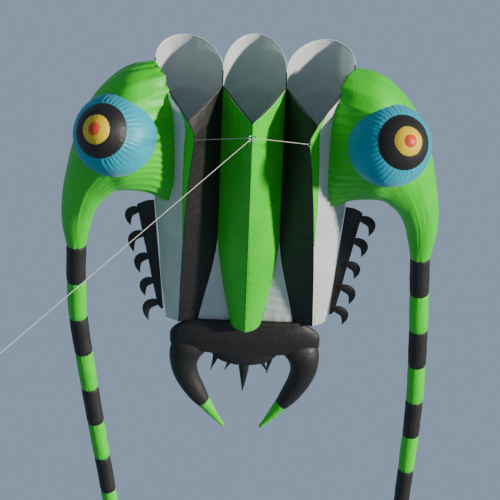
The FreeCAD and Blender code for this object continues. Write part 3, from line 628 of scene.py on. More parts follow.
def dressed(points, seed, pucker=0.0034, wrinkle=0.0040, edges=(1, 1, 1, 1), closed=False, flip=1):
    """A panel's grid with puckered edges and drag wrinkles over its face, and the distance to its seams."""
    normals = grid_normals(points, closed) * flip
    along, across = run_lengths(points, 0), run_lengths(points, 1)
    near = [across, across[:, -1:] - across, along, along[-1:] - along]
    seam_away = np.minimum.reduce([d if use else d + 1.0 for d, use in zip(near, edges)])
    height = np.zeros(points.shape[:2])
    for order, (distance, use) in enumerate(zip(near, edges)):
        run = along if order < 2 else across
        if use:
            fade = fading(distance, 0.045) * rising(distance, 0.008)
            height += pucker * fade * folds(run, 0.036, seed + order, distance * 4)
            fade = fading(distance, 0.16) * rising(distance, 0.02)
            height += 0.8 * pucker * fade * folds(run, 0.11, seed + order + 11, distance * 2)
    slant = along * 0.6 + across
    inner = rising(seam_away, 0.05)
    height += wrinkle * ripple(slant / 0.16, (along - across) / 0.75, seed + 31) * inner
    height += 0.6 * wrinkle * ripple(along / 0.35, across / 0.08, seed + 47) * inner
    return points + normals * height[..., None], np.maximum(seam_away, 0)


def declare_sheet(flat_points):
    """Work out the flat width, length and area that a panel's unpuckered surface has; nothing uses them."""
    along, across = run_lengths(flat_points, 0)[-1], run_lengths(flat_points, 1)[:, -1]
    sides = np.diff(flat_points, axis=0)[:, :-1], np.diff(flat_points, axis=1)[:-1]
    area = float(np.linalg.norm(np.cross(*sides), axis=-1).sum())
    width, length = float(across.max()), float(along.max())
    area = min(max(area, 0.31 * width * length), width * length)


def cloth_panel(name, lines, stations, bow, material, node, side, cols, seed, down=(0.6, -1.0)):
    """Panel between two seam lines, bowed out by the air in the cell by `bow`, a share of its width."""
    u = np.asarray(stations, float)
    a, b = (line(u) for line in lines)
    share = np.linspace(0, 1, cols)[None, :, None]
    span = b - a
    square = np.stack([span[:, 1], -span[:, 0]], axis=-1)
    square = square / np.maximum(np.linalg.norm(square, axis=-1, keepdims=True), 1e-9)
    square = square * np.sign(square @ np.array(down))[:, None]
    swell = (bow(u) * np.linalg.norm(span, axis=-1))[:, None, None] * 4 * share * (1 - share)
    section = a[:, None] + span[:, None] * share + square[:, None] * swell
    flat = placed(u[:, None], section, side)
    points, away = dressed(flat, seed)
    mesh = grid_mesh(name, points, seam_away=away, flip=side < 0)
    piece = add_piece(name, mesh, material, (node,), CLOTH_WALL)
    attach(piece, "root")
    declare_sheet(flat)
    return piece


def level(value):
    return lambda u: np.full(len(u), value)


def strip_edge(u):
    ridge, outer = seam(SIDE_RIDGE, u), seam(OUTER_LOW, u)
    share = seam(STRIP_SHARE, u)[:, :1] / W
    return ridge + (outer - ridge) * np.where(u[:, None] <= STRIP_END + 1e-9, share, 0.0)


def on(table):
    """The seam line of a table, as a function of the stations."""
    return lambda u: seam(table, u)


def lobe_bow(u):
    """The centre keel swells into a round lobe towards the tail."""
    return 0.035 + 0.20 * np.maximum(0, u - 0.3)


def make_keels():
    whole = np.linspace(0, 1, 150)
    front = whole[whole <= STRIP_END + 1e-9]
    web = np.concatenate([[WEB_START], whole[whole > WEB_START + 0.003]])
    edge, ridge, valley, side_ridge, low = map(on, (LOBE_EDGE, CENTRE_RIDGE, VALLEY, SIDE_RIDGE, OUTER_LOW))
    for name, side in SIDES:
        cloth_panel(f"centre_keel_{name}", (edge, ridge), whole, lobe_bow, GREEN,
                    f"centre_keel_{name}_panel", side, 32, 3 + side)
        cloth_panel(f"{name}_keel_inner", (valley, side_ridge), whole, level(0.022), BLACK,
                    f"{name}_keel_inner_panel", side, 28, 9 + side, (-0.6, -1.0))
        cloth_panel(f"{name}_keel_green_strip", (side_ridge, strip_edge), front, level(0.02), GREEN,
                    f"{name}_keel_strip", side, 8, 15 + side)
        cloth_panel(f"{name}_side_white", (strip_edge, low), whole, level(0.035), WHITE,
                    f"{name}_side_panel", side, 32, 21 + side)
        cloth_panel(f"{name}_web", (edge, valley), web, level(0.015), WHITE,
                    f"{name}_web_panel", side, 24, 27 + side)


def arch(start, end, rise, share):
    """Half-ellipse arch over share 0..1 of its half turn, for arrays of stations."""
    angle = math.pi * share[None, :, None]
    base = start[:, None] + (end - start)[:, None] * (1 - np.cos(angle)) / 2
    lift = np.concatenate([np.zeros_like(angle), np.sin(angle)], axis=-1)
    return base + lift * rise[:, None, None]


def centre_arch(u, share):
    rib = seam(RIB_TOP, u)
    left = rib * np.array((-1, 1))
    return arch(left, rib, seam(CENTRE_CROWN, u)[:, 1] - rib[:, 1], share)


def side_arch(u, share):
    rib, high = seam(RIB_TOP, u), seam(OUTER_HIGH, u)
    return arch(rib, high, seam(SIDE_CROWN, u)[:, 1] - (rib[:, 1] + high[:, 1]) / 2, share)


RIB_STATIONS = np.array((0.2, 0.4, 0.6, 0.8))


def scalloped(points, u, depth):
    """Sink the skin at the cross ribs inside, so that it billows between them."""
    away = np.abs(u[:, None] - RIB_STATIONS[None]).min(axis=1)
    sink = depth * np.exp(-((away / 0.022) ** 2))
    return points - grid_normals(points) * sink[:, None, None]


BILLOW = 0.010
MID_ROW, MID_COLUMN = 75, 28


def make_canopy(name, section, u, side, seed):
    """One cell's top skin, which billows between the cross ribs."""
    flat = placed(u[:, None], section, side)
    facing = 1 if grid_normals(flat)[MID_ROW, MID_COLUMN, 2] > 0 else -1
    points, away = dressed(scalloped(flat, u, BILLOW * facing), seed, flip=facing)
    mesh = grid_mesh(f"{name}_canopy", points, seam_away=away, flip=side < 0)
    piece = add_piece(f"{name}_canopy", mesh, WHITE, (f"{name}_top_skin",), CLOTH_WALL)
    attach(piece, "root")
    declare_sheet(flat)


def make_canopies():
    u, share = np.linspace(0, 1, 2 * MID_ROW), np.linspace(0, 1, 2 * MID_COLUMN)
    make_canopy("centre", centre_arch(u, share), u, 1, 41)
    drop = np.linspace(0, 1, 9)[None, 1:, None]
    high, low = seam(OUTER_HIGH, u), seam(OUTER_LOW, u)
    flank = high[:, None] + (low - high)[:, None] * drop
    section = np.concatenate([side_arch(u, share), flank], axis=1)
    for name, side in SIDES:
        make_canopy(name, section, u, side, 45 + side)


def make_end_wall():
    """Black cloth that closes the trailing edge between the top skins and the keels."""
    one = np.array((1.0,))
    share = np.linspace(0, 1, 56)
    right_top = side_arch(one, share)[0]
    centre_top = centre_arch(one, share)[0]
    top = np.concatenate([right_top[::-1] * (-1, 1), centre_top[1:-1], right_top])
    corners = [seam(table, one)[0] for table in (OUTER_LOW, SIDE_RIDGE, VALLEY, LOBE_EDGE, CENTRE_RIDGE)]
    low_x = [-c[0] for c in corners[:-1]] + [c[0] for c in reversed(corners)]
    low_z = [c[1] for c in corners[:-1]] + [c[1] for c in reversed(corners)]
    bottom_z = np.interp(top[:, 0], low_x, low_z)
    height = np.linspace(0, 1, 12)[:, None]
    x = np.broadcast_to(top[:, 0], (12, len(top)))
    z = bottom_z * (1 - height) + top[:, 1] * height
    y = np.full_like(x, LENGTH) + 0.022 * np.sin(math.pi * height)
    flat = np.stack([x, y, z], axis=-1) + NOSE
    points, away = dressed(flat, 61, wrinkle=0.0015)
    piece = add_piece("end_wall", grid_mesh("end_wall", points, seam_away=away), BLACK, (), CLOTH_WALL)
    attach(piece, "root")
    declare_sheet(flat)


make_keels()
make_canopies()
make_end_wall()


# ---- ribs, mouth bindings and seam piping ------------------------------------------------------------------

VENT_RADIUS = 0.034
VENT_STATIONS = (0.16, 0.30, 0.44, 0.58)


def tube_along(points, radius, sides=8, closed=False, flat=1.0):
    """Grid of a round or flattened tube that follows a line of points; closed lines join their ends."""
    points = np.asarray(points, float)
    if closed:
        along = np.roll(points, -1, 0) - np.roll(points, 1, 0)
    else:
        along = np.gradient(points, axis=0)
    along = along / np.linalg.norm(along, axis=1, keepdims=True)
    guide = np.array((0.0, 0.0, 1.0))
    if np.abs(along @ guide).max() > 0.97:
        guide = np.array((0.31, 0.94, 0.12))
    across = np.cross(along, guide)
    across = across / np.linalg.norm(across, axis=1, keepdims=True)
    above = np.cross(across, along)
    angle = 2 * math.pi * np.arange(sides) / sides
    wide, tall = np.cos(angle)[None, :, None], np.sin(angle)[None, :, None]
    ring = across[:, None] * wide + above[:, None] * tall * flat
    grid = points[:, None] + ring * np.broadcast_to(np.asarray(radius, float).reshape(-1, 1, 1), ring.shape)
    return np.concatenate([grid, grid[:1]]) if closed else grid


def joined(name, meshes):
    """One mesh out of several."""
    parts = [bpy.data.objects.new(f"{name}_{index}", mesh) for index, mesh in enumerate(meshes)]
    for part in parts:
        bpy.context.scene.collection.objects.link(part)
    with bpy.context.temp_override(active_object=parts[0], selected_editable_objects=parts):
        bpy.ops.object.join()
    mesh = parts[0].data
    bpy.data.objects.remove(parts[0])
    mesh.name = name
    return mesh


def make_rib(name, side):
    """Upright green wall between two cells, with four bound vents."""
    u = np.linspace(0, 1, 140)
    low, high = seam(RIB_BOTTOM, u), seam(RIB_TOP, u)
    share = np.linspace(0, 1, 13)[None, :, None]
    section = low[:, None] * (1 - share) + high[:, None] * share
    flat = placed(u[:, None], section, side)
    vents = []
    for station in VENT_STATIONS:
        at = np.array((station,))
        vents.append(placed(at, (seam(RIB_BOTTOM, at) + seam(RIB_TOP, at)) / 2, side)[0])
    points, away = dressed(flat, 71 + side, wrinkle=0.0012)
    mesh = grid_mesh(f"{name}_rib_cloth", points, seam_away=away)
    cloth = bmesh.new()
    cloth.from_mesh(mesh)
    holes = []
    for centre in vents:
        for face in cloth.faces:
            middle = face.calc_center_median()
            if np.hypot(middle.y - centre[1], middle.z - centre[2]) < VENT_RADIUS:
                holes.append(face)
    bmesh.ops.delete(cloth, geom=holes, context="FACES")
    for vert in [v for v in cloth.verts if any(e.is_boundary for e in v.link_edges)]:
        for centre in vents:
            dy, dz = vert.co.y - centre[1], vert.co.z - centre[2]
            reach = math.hypot(dy, dz)
            if reach < VENT_RADIUS * 1.8:
                vert.co.y = centre[1] + dy / reach * VENT_RADIUS
                vert.co.z = centre[2] + dz / reach * VENT_RADIUS
    cloth.to_mesh(mesh)
    cloth.free()
    piece = add_piece(f"{name}_rib_cloth", mesh, GREEN, (f"{name}_rib",), CLOTH_WALL)
    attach(piece, "root")
    angle = np.linspace(0, 2 * math.pi, 33)[:-1]
    rims = []
    for index, centre in enumerate(vents):
        circle = np.stack([np.full(32, centre[0]), centre[1] + VENT_RADIUS * np.cos(angle),
                           centre[2] + VENT_RADIUS * np.sin(angle)], axis=-1)
        rims.append(grid_mesh(f"{name}_vent_{index}", tube_along(circle, 0.004, 8, True), closed=True))
    rim = add_piece(f"{name}_vent_binding", joined(f"{name}_vent_binding", rims), BLACK)
    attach(rim, "root")


def mouth_line(cell, side):
    """Points round a mouth's rim: over the arch, then down and round the V."""
    zero = np.array((0.0,))
    if cell == "centre":
        top = centre_arch(zero, np.linspace(0, 1, 60))[0]
        valley = seam(VALLEY, zero)[0]
        corners = [valley, seam(CENTRE_RIDGE, zero)[0], valley * (-1, 1), top[0]]
    else:
        top = side_arch(zero, np.linspace(0, 1, 60))[0]
        corners = [seam(OUTER_LOW, zero)[0], seam(SIDE_RIDGE, zero)[0], seam(VALLEY, zero)[0], top[0]]
    lower = []
    start = top[-1]
    for corner in corners:
        count = max(3, int(np.linalg.norm(corner - start) / 0.02))
        lower.append(start + (corner - start) * np.linspace(0, 1, count + 1)[1:, None])
        start = corner
    return placed(0.0, top, side), placed(0.0, np.concatenate([top[-1:]] + lower), side)


def make_mouth_binding(name, cell, side):
    """White hem over the arch, and the black tape sewn round the V, both folded over the cloth's edge."""
    forward = np.array((0.0, -1.0, -RAKE / H))
    forward = forward / np.linalg.norm(forward) * 0.004
    top, lower = mouth_line(cell, side)
    for part, line, radius, material in (("binding", lower, 0.0055, BLACK), ("hem", top, 0.0062, WHITE)):
        piece_name = f"{name}_mouth_{part}"
        tube = tube_along(line + forward, radius, 8, False, 0.7)
        mesh = grid_mesh(piece_name, tube, closed=True, caps=(0, -1))
        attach(add_piece(piece_name, mesh, material, (f"{name}_mouth_tape",)), "root")


def make_piping():
    """Sewn cords along the keels' ridges, valleys and edges."""
    u = np.linspace(0, 1, 160)
    runs = [("centre_ridge_piping", CENTRE_RIDGE, 1, GREEN, u, 0.0045)]
    for name, side in SIDES:
        runs.append((f"{name}_ridge_piping", SIDE_RIDGE, side, BLACK, u, 0.0045))
        runs.append((f"{name}_valley_piping", VALLEY, side, BLACK, u, 0.0040))
        runs.append((f"{name}_lobe_piping", LOBE_EDGE, side, GREEN, u[u > 0.6], 0.0038))
        runs.append((f"{name}_outer_piping", OUTER_LOW, side, WHITE, u, 0.0038))
    for name, table, side, material, stations, radius in runs:
        line = placed(stations, seam(table, stations), side)
        mesh = grid_mesh(name, tube_along(line, radius, 8), closed=True, caps=(0, -1))
        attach(add_piece(name, mesh, material), "root")


for side_name, side_sign in SIDES:
    make_rib(side_name, side_sign)
    make_mouth_binding(side_name, "side", side_sign)
make_mouth_binding("centre", "centre", 1)
make_piping()


# ---- round inflated pieces ---------------------------------------------------------------------------------

def ring_values(rings):
    """Ring numbers in metres and radians, and how far along each ring lies."""
    rows = np.array(rings, float)
    rows[:, [0, 1, 2, 4, 5]] *= W
    rows[:, 3] = np.radians(rows[:, 3])
    steps = np.linalg.norm(np.diff(rows[:, :3], axis=0), axis=1)
    return rows, np.concatenate([[0], np.cumsum(np.maximum(steps, 1e-4))])


def ring_surface(rings, at, angle, side=1, limited=False):
    """Row-frame points at distances `at` (rows, columns) along the rings and at angles round them."""
    rows, knots = ring_values(rings)
    x, y, z, turn, wide, tall = (cubic(knots, rows[:, k], at, limited) for k in range(6))
    across = np.stack([np.sin(turn), -np.cos(turn), np.zeros_like(turn)], axis=-1)
    centre = np.stack([x, y, z], axis=-1)
    points = centre + across * (wide * np.cos(angle))[..., None]
    points[..., 2] += tall * np.sin(angle)
    points[..., 0] *= side
    return points + NOSE


def flank_x(y, z):
    """Half width of the body, with its side panel and flank, at nose-datum y and z."""
    rake = RAKE * (1 - z / H)
    u = np.clip((y - rake) / (LENGTH - rake), 0, 1)
    high, low, ridge, rib = (seam(t, u) for t in (OUTER_HIGH, OUTER_LOW, SIDE_RIDGE, RIB_TOP))
    rise = seam(SIDE_CROWN, u)[..., 1] - (rib[..., 1] + high[..., 1]) / 2
    share = np.ones_like(z)
    for _ in range(6):
        base = rib[..., 1] + (high[..., 1] - rib[..., 1]) * share
        lift = np.clip((z - base) / rise, 0, 1)
        share = (1 + np.sqrt(1 - lift * lift)) / 2
    over = rib[..., 0] + (high[..., 0] - rib[..., 0]) * share
    wall = low[..., 0] + (high[..., 0] - low[..., 0]) * (z - low[..., 1]) / (high[..., 1] - low[..., 1])
    rise_share = (z - ridge[..., 1]) / (low[..., 1] - ridge[..., 1])
    under = ridge[..., 0] + (low[..., 0] - ridge[..., 0]) * rise_share
    return np.where(z >= high[..., 1], over, np.where(z >= low[..., 1], wall, under))


def cheek_roots(angle):
    """Distance along the cheek's rings at which it leaves the body's flank, for each angle round it."""
    rows, knots = ring_values(CHEEK_RINGS)
    at = np.linspace(0, knots[4], 600)
    points = ring_surface(CHEEK_RINGS, np.repeat(at[:, None], len(angle), 1), angle[None]) - NOSE
    outside = points[..., 0] - flank_x(points[..., 1], points[..., 2])
    first = np.argmax(outside > 0, axis=0)
    first = np.maximum(first, 1)
    columns = np.arange(len(angle))
    before, after = outside[first - 1, columns], outside[first, columns]
    share = before / np.minimum(before - after, -1e-9)
    return at[first - 1] + np.clip(share, 0, 1) * (at[1] - at[0]), knots[-1]


CHEEK_COLUMNS, CHEEK_ROWS, TUCK_ROWS = 300, 150, 4
CHEEK_TREES = {}


def make_cheek(name, side):
    """Cheek pod that runs out into its horn, gathered where it is sewn to the flank."""
    angle = 2 * math.pi * np.arange(CHEEK_COLUMNS) / CHEEK_COLUMNS
    start, stop = cheek_roots(angle)
    share = np.linspace(0, 1, CHEEK_ROWS)[:, None]
    at = start[None] + (stop - start)[None] * share
    angles = np.broadcast_to(angle, at.shape)
    points = ring_surface(CHEEK_RINGS, at, angles, side)
    mouth_y = NOSE[1] + RAKE * (1 - (points[0, :, 2] - NOSE[2]) / H) + 0.004
    tuck = np.linspace(1, 0, TUCK_ROWS + 1)[:-1, None] * np.maximum(mouth_y - points[0, :, 1], 0)
    tucked = points[:1] + np.stack([tuck * 0, tuck, tuck * 0], axis=-1)
    points = np.concatenate([tucked, points])
    at = np.concatenate([np.repeat(at[:1], TUCK_ROWS, 0), at])
    middle = points.mean(axis=1, keepdims=True)
    outwards = points - middle
    hand = outward_hand(points, middle)
    normals = grid_normals(points, True) * hand
    root_run = np.broadcast_to(run_lengths(points[:1], 1), at.shape)
    away = run_lengths(points, 0)
    end_away = away[-1:] - away
    height = 0.015 * fading(away, 0.24) * rising(away, 0.02) * folds(root_run, 0.085, 81 + side, away)
    height += 0.005 * fading(away, 0.08) * rising(away, 0.01) * folds(root_run, 0.034, 87 + side, away)
    inner = rising(away, 0.05) * rising(end_away, 0.6)
    round_run = np.broadcast_to(angle * 0.25, at.shape)
    height += 0.0035 * fading(end_away, 0.05) * folds(round_run, 0.11, 91, end_away)
    height += 0.006 * ripple(root_run / 0.30, away / 0.65, 93 + side) * inner
    height += 0.0022 * ripple(root_run / 0.07, away / 0.30, 97 + side) * inner
    rim_away = np.abs(np.sin(angle))
    half_size = np.linalg.norm(outwards, axis=-1)
    gore_away = rim_away[None] * half_size
    height -= 0.006 * np.exp(-((gore_away / 0.018) ** 2)) * rising(away, 0.1)
    points = points + normals * height[..., None]
    seam_away = np.minimum(np.minimum(away, end_away), gore_away + 0.004)
    mesh = grid_mesh(f"{name}_cheek_pod", points, closed=True, seam_away=seam_away, flip=hand < 0)
    piece = add_piece(f"{name}_cheek_pod", mesh, GREEN, (f"{name}_cheek",), CLOTH_WALL)
    faces = [tuple(face.vertices) for face in mesh.polygons]
    CHEEK_TREES[name] = BVHTree.FromPolygons([vertex.co for vertex in mesh.vertices], faces)
    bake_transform(piece)


def heading(degrees):
    return np.array((math.cos(math.radians(degrees)), math.sin(math.radians(degrees)), 0.0))


def tail_seams(name, side):
    """Seam centres in the row frame and headings of one tail."""
    last = CHEEK_RINGS[-1]
    centre = np.array((side * last[0] * W, last[1] * W, last[2] * W)) + NOSE
    seams = []
    for turn in TAIL_TURNS[name]:
        seams.append((centre, 90 + side * turn))
        centre = centre + heading(90 + side * turn) * BAND
    return seams


def unit(vectors):
    return vectors / np.linalg.norm(vectors, axis=-1, keepdims=True)


def square_axes(axis):
    """Two unit vectors square to an axis."""
    first = unit(np.cross(axis, (0.0, 0.0, 1.0)))
    return first, np.cross(axis, first)


def cap_points(centre, axis, radius, polar, azimuth):
    """Points on a sphere at polar angles from its axis and azimuths round it."""
    first, second = square_axes(axis)
    ring = first * np.cos(azimuth)[..., None] + second * np.sin(azimuth)[..., None]
    return centre + (axis * np.cos(polar)[..., None] + ring * np.sin(polar)[..., None]) * radius


def outside_cheek(tree, point):
    place, normal, _, _ = tree.find_nearest(Vector(point))
    return (Vector(point) - place).dot(normal) > 0


def dome_base(name, centre, axis, azimuth):
    """Polar angle at which the eye's dome meets the cheek, for each azimuth."""
    tree = CHEEK_TREES[name]
    found = []
    for turn in azimuth:
        low, high = math.radians(35), math.radians(150)
        for polar in np.radians(np.arange(40, 150, 5)):
            point = cap_points(centre, axis, DOME_RADIUS, np.array(polar), np.array(turn))
            if not outside_cheek(tree, point):
                high = polar
                break
            low = polar
        for _ in range(7):
            middle = (low + high) / 2
            point = cap_points(centre, axis, DOME_RADIUS, np.array(middle), np.array(turn))
            low, high = (middle, high) if outside_cheek(tree, point) else (low, middle)
        found.append(high)
    found = np.array(found)
    for _ in range(160):
        found = (np.roll(found, 1) + 2 * found + np.roll(found, -1)) / 4
    return found + 0.05


def capped_mesh(name, points, seam_away, centre, caps):
    """Mesh of a polar cap whose rows run outwards from a ring round its pole."""
    flip = outward_hand(points, centre) < 0
    return grid_mesh(name, points, closed=True, seam_away=seam_away, flip=flip, caps=caps)


def make_eye(name, side):
    """Gathered blue dome on the cheek with black ball, yellow iris and red pupil domes sewn on in turn."""
    axis = unit(EYE_AXIS * (side, 1, 1))
    centre = EYE_CENTRE * (side, 1, 1) * W + NOSE
    columns, rows = 240, 70
    azimuth = 2 * math.pi * np.arange(columns) / columns
    base = dome_base(name, centre, axis, azimuth)
    top = math.radians(DOME_TOP)
    polar = top + (base - top)[None] * np.linspace(0, 1, rows)[:, None]
    turn = np.broadcast_to(azimuth, polar.shape)
    ball_away = (polar - math.radians(BALL_EDGE)) * DOME_RADIUS
    base_away = (base[None] - 0.05 - polar) * DOME_RADIUS
    run = turn * DOME_RADIUS * DOME_WAIST
    pitch = 2 * math.pi * DOME_RADIUS * DOME_WAIST / DOME_GATHERS
    gather = folds(run, pitch, 101 + side, ball_away * 1.5)
    height = 0.0055 * fading(np.maximum(ball_away, 0), 0.10) * gather
    height += 0.003 * fading(np.maximum(base_away, 0), 0.05) * folds(run, 0.05, 107 + side, base_away)
    height += 0.004 * ripple(run / 0.3, ball_away / 0.25, 109 + side)
    height *= rising(base_away, 0.03) * rising(ball_away, 0.025)
    points = cap_points(centre, axis, DOME_RADIUS, polar, turn)
    points = points + unit(points - centre) * height[..., None]
    away = np.maximum(np.minimum(ball_away, base_away), 0)
    mesh = capped_mesh(f"{name}_eye_gathered_dome", points, away, centre, ())
    piece = add_piece(f"{name}_eye_gathered_dome", mesh, BLUE, (f"{name}_eye_dome",), CLOTH_WALL)
    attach(piece, "root")
    for values, material in zip(EYE_LAYERS, (BLACK, YELLOW, RED)):
        layer, radius, offset, half, pucker, gathers = values
        centre = centre + axis * offset
        edge = math.radians(half)
        columns, rows = 160, 44
        azimuth = 2 * math.pi * np.arange(columns) / columns
        polar = np.linspace(0.02, edge + 0.05, rows)[:, None] * np.ones((1, columns))
        turn = np.broadcast_to(azimuth, polar.shape)
        edge_away = (edge - polar) * radius
        run = turn * radius
        height = pucker / 1000 * fading(np.maximum(edge_away, 0), 0.03) * folds(
            run, 2 * math.pi * radius / gathers, 113 + side, edge_away)
        height += 0.0016 * ripple(run / 0.15, polar * radius / 0.09, 117 + side) * rising(polar, 0.3)
        height *= rising(edge_away, 0.01)
        points = cap_points(centre, axis, radius, polar, turn)
        points = points + unit(points - centre) * height[..., None]
        away = np.maximum(edge_away, 0)
        piece_name = f"{name}_{layer}_cloth"
        mesh = capped_mesh(piece_name, points, away, centre, (0,))
        piece = add_piece(piece_name, mesh, material, (f"{name}_{layer}",), CLOTH_WALL)
        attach(piece, "root")


for side_name, side_sign in SIDES:
    make_cheek(side_name, side_sign)
    make_eye(side_name, side_sign)


# ---- tube tails --------------------------------------------------------------------------------------------

TAIL_RADIUS, TAIL_TAPER, TAIL_GATHERS = 0.086, 0.0026, 14
TIP_START = 0.80


def make_band(name, side, index):
    """One band of a tail tube, drawn in a little at its sewn ends."""
    seams = tail_seams(name, side)
    (start, start_heading), (end, end_heading) = seams[index], seams[index + 1]
    last = index == len(seams) - 2
    columns, rows = 72, 56
    share = np.linspace(0, 1, rows)
    d0, d1 = heading(start_heading) * BAND, heading(end_heading) * BAND
    s = share[:, None]
    centre = (start * (1 + 2 * s) * (1 - s) ** 2 + end * s * s * (3 - 2 * s)
              + d0 * s * (1 - s) ** 2 - d1 * s * s * (1 - s))
    along = unit(np.gradient(centre, axis=0))
    across = unit(np.cross(along, (0.0, 0.0, 1.0)))
    above = np.cross(across, along)
    radius = TAIL_RADIUS - TAIL_TAPER * (index + share)
    away = share * BAND
    end_away = BAND - away
    radius = radius - 0.0045 * np.exp(-(away / 0.020) ** 2)
    if last:
        closing = rising(share - TIP_START, 1 - TIP_START)
        radius = radius * np.sqrt(np.maximum(1 - closing ** 2.2, 0.0005))
    else:
        radius = radius - 0.0045 * np.exp(-(end_away / 0.020) ** 2)
    angle = 2 * math.pi * np.arange(columns) / columns
    seed = 131 + index * 3 + side
    near = away[:, None] * np.ones((1, columns))
    far = end_away[:, None] * np.ones((1, columns))
    run = np.broadcast_to(angle * TAIL_RADIUS, near.shape)
    pitch = 2 * math.pi * TAIL_RADIUS / TAIL_GATHERS
    height = 0.0028 * fading(near, 0.035) * folds(run, pitch, seed, near)
    if not last:
        height += 0.0028 * fading(far, 0.035) * folds(run, pitch, seed + 1, far)
    height += 0.002 * ripple(near / 0.11, run / 0.13, seed + 2)
    height *= rising(near, 0.006) * rising(far, 0.006)
    ring = across[:, None] * np.cos(angle)[None, :, None] + above[:, None] * np.sin(angle)[None, :, None]
    points = centre[:, None] + ring * (radius[:, None] + height)[..., None]
    away_grid = near if last else np.minimum(near, far)
    colour, material = ("green", GREEN) if index % 2 else ("black", BLACK)
    body = BAND_BODIES[index]
    plural = "s" if sum(b == body and i % 2 == index % 2 for i, b in enumerate(BAND_BODIES)) > 1 else ""
    piece_name = f"{name}_tail_band_{index + 1}"
    flip = outward_hand(points, centre[:, None]) < 0
    caps = (-1,) if last else ()
    mesh = grid_mesh(piece_name, points, closed=True, seam_away=away_grid, flip=flip, caps=caps)
    node = f"{name}_tail_{body}_{colour}_band{plural}"
    piece = add_piece(piece_name, mesh, material, (node,), CLOTH_WALL)
    joints = {0: ("root", "front", 0), 2: ("front", "middle", 3), 3: ("front", "middle", 3),
              5: ("middle", "end", 6), 6: ("middle", "end", 6)}
    if index in joints:
        first, second, at = joints[index]
        first = first if first == "root" else f"{name}_tail_{first}"
        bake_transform(piece)
    else:
        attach(piece, f"{name}_tail_{body}")


for side_name, side_sign in SIDES:
    for band_index in range(len(BAND_BODIES)):
        make_band(side_name, side_sign, band_index)


# ---- tail lobe, claws, spikes ------------------------------------------------------------------------------

def inflated_grid(rings, rows, columns, side=1, limited=True, seed=151, pucker=0.004, wrinkle=0.003):
    """Points round an inflated piece, with gathers at its sewn ends, and how far each is from a seam."""
    _, knots = ring_values(rings)
    at = np.repeat(np.linspace(0, knots[-1], rows)[:, None], columns, 1)
    angle = np.broadcast_to(2 * math.pi * np.arange(columns) / columns, at.shape)
    points = ring_surface(rings, at, angle, side, limited)
    normals = grid_normals(points, True)
    hand = outward_hand(points, points.mean(axis=1, keepdims=True))
    near, far = run_lengths(points, 0), knots[-1] - at
    run = run_lengths(points, 1)
    height = pucker * (fading(near, 0.06) + fading(far, 0.06)) * folds(run, 0.055, seed, near)
    height += wrinkle * ripple(near / 0.20, run / 0.12, seed + 1)
    fade = rising(near, 0.01) * rising(far, 0.02)
    points = points + normals * hand * (height * fade)[..., None]
    return points, np.minimum(near, far), hand


def make_lobe():
    points, away, hand = inflated_grid(LOBE_RINGS, 120, 220)
    mesh = grid_mesh("tail_lobe_cloth", points, closed=True, seam_away=away, flip=hand < 0, caps=(0, -1))
    piece = add_piece("tail_lobe_cloth", mesh, BLACK, ("tail_lobe",))
    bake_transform(piece)


def make_claw(name, side):
    points, away, hand = inflated_grid(CLAW_RINGS, 90, 72, side, False, 161 + side, 0.003, 0.0025)
    mesh = grid_mesh(f"{name}_claw_cloth", points, closed=True, seam_away=away, flip=hand < 0, caps=(0,))
    piece = add_piece(f"{name}_claw_cloth", mesh, BLACK, (f"{name}_claw",))
    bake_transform(piece)
    points, away, hand = inflated_grid(CLAW_TIP_RINGS, 50, 48, side, False, 167 + side, 0.0018, 0.001)
    away = away + 0.004
    mesh = grid_mesh(f"{name}_claw_point", points, closed=True, seam_away=away, flip=hand < 0, caps=(-1,))
    piece = add_piece(f"{name}_claw_point", mesh, GREEN, (f"{name}_claw_tip",))
    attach(piece, f"{name}_claw")


def bezier(path, t):
    """Point of the Bezier curve through its end points, for any number of guide points."""
    points = np.array(path, float)[:, None]
    while len(points) > 1:
        points = points[:-1] * (1 - t) + points[1:] * t
    return points[0]


def horn_mesh(name, path, radii, flat=1.0, columns=20, rows=30):
    """Tapered tube along a curve."""
    t = np.linspace(0, 1, rows)[:, None]
    radius = np.interp(t[:, 0], np.linspace(0, 1, len(radii)), radii)
    points = tube_along(bezier(path, t), radius, columns, False, flat)
    hand = outward_hand(points, points.mean(axis=1, keepdims=True))
    return grid_mesh(name, points, closed=True, flip=hand < 0, caps=(0, -1))


def make_spikes():
    """Ragged little spikes on the lobe's end, and the long one in the middle."""
    low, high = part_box("small_spikes")
    z = (low.z + high.z) / 2
    meshes = []
    hooks = ((-0.92, -0.05, 0.12), (-0.42, -0.06, 0.08), (0.56, 0.07, 0.09), (0.86, -0.03, 0.13))
    for index, (across, lean, reach) in enumerate(hooks):
        x, y = across * W, 11.93 * W + NOSE[1]
        if abs(across) > 0.8:
            y = 11.80 * W + NOSE[1]
        middle = (x + lean * 0.2, y + reach * 0.5, z - 0.006)
        path = ((x, y, z), middle, (x + lean, y + reach + 0.05, z - 0.02))
        meshes.append(horn_mesh(f"spike_{index}", path, (0.032, 0.022, 0.012, 0.002), 0.5))
    piece = add_piece("small_spike_cloth", joined("small_spike_cloth", meshes), BLACK, ("small_spikes",))
    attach(piece, "tail_lobe")
    low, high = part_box("centre_spike")
    x, z = (low.x + high.x) / 2, (low.z + high.z) / 2
    path = ((x, low.y - 0.030, z), (x + 0.004, (low.y + high.y) / 2, z + 0.006), (x - 0.006, high.y, z))
    mesh = horn_mesh("centre_spike_cloth", path, (0.047, 0.044, 0.034, 0.024, 0.013, 0.002), 0.85, 32, 50)
    piece = add_piece("centre_spike_cloth", mesh, BLACK, ("centre_spike",))
    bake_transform(piece)


make_lobe()
for side_name, side_sign in SIDES:
    make_claw(side_name, side_sign)
make_spikes()


# ---- leg strips and hooked legs ----------------------------------------------------------------------------

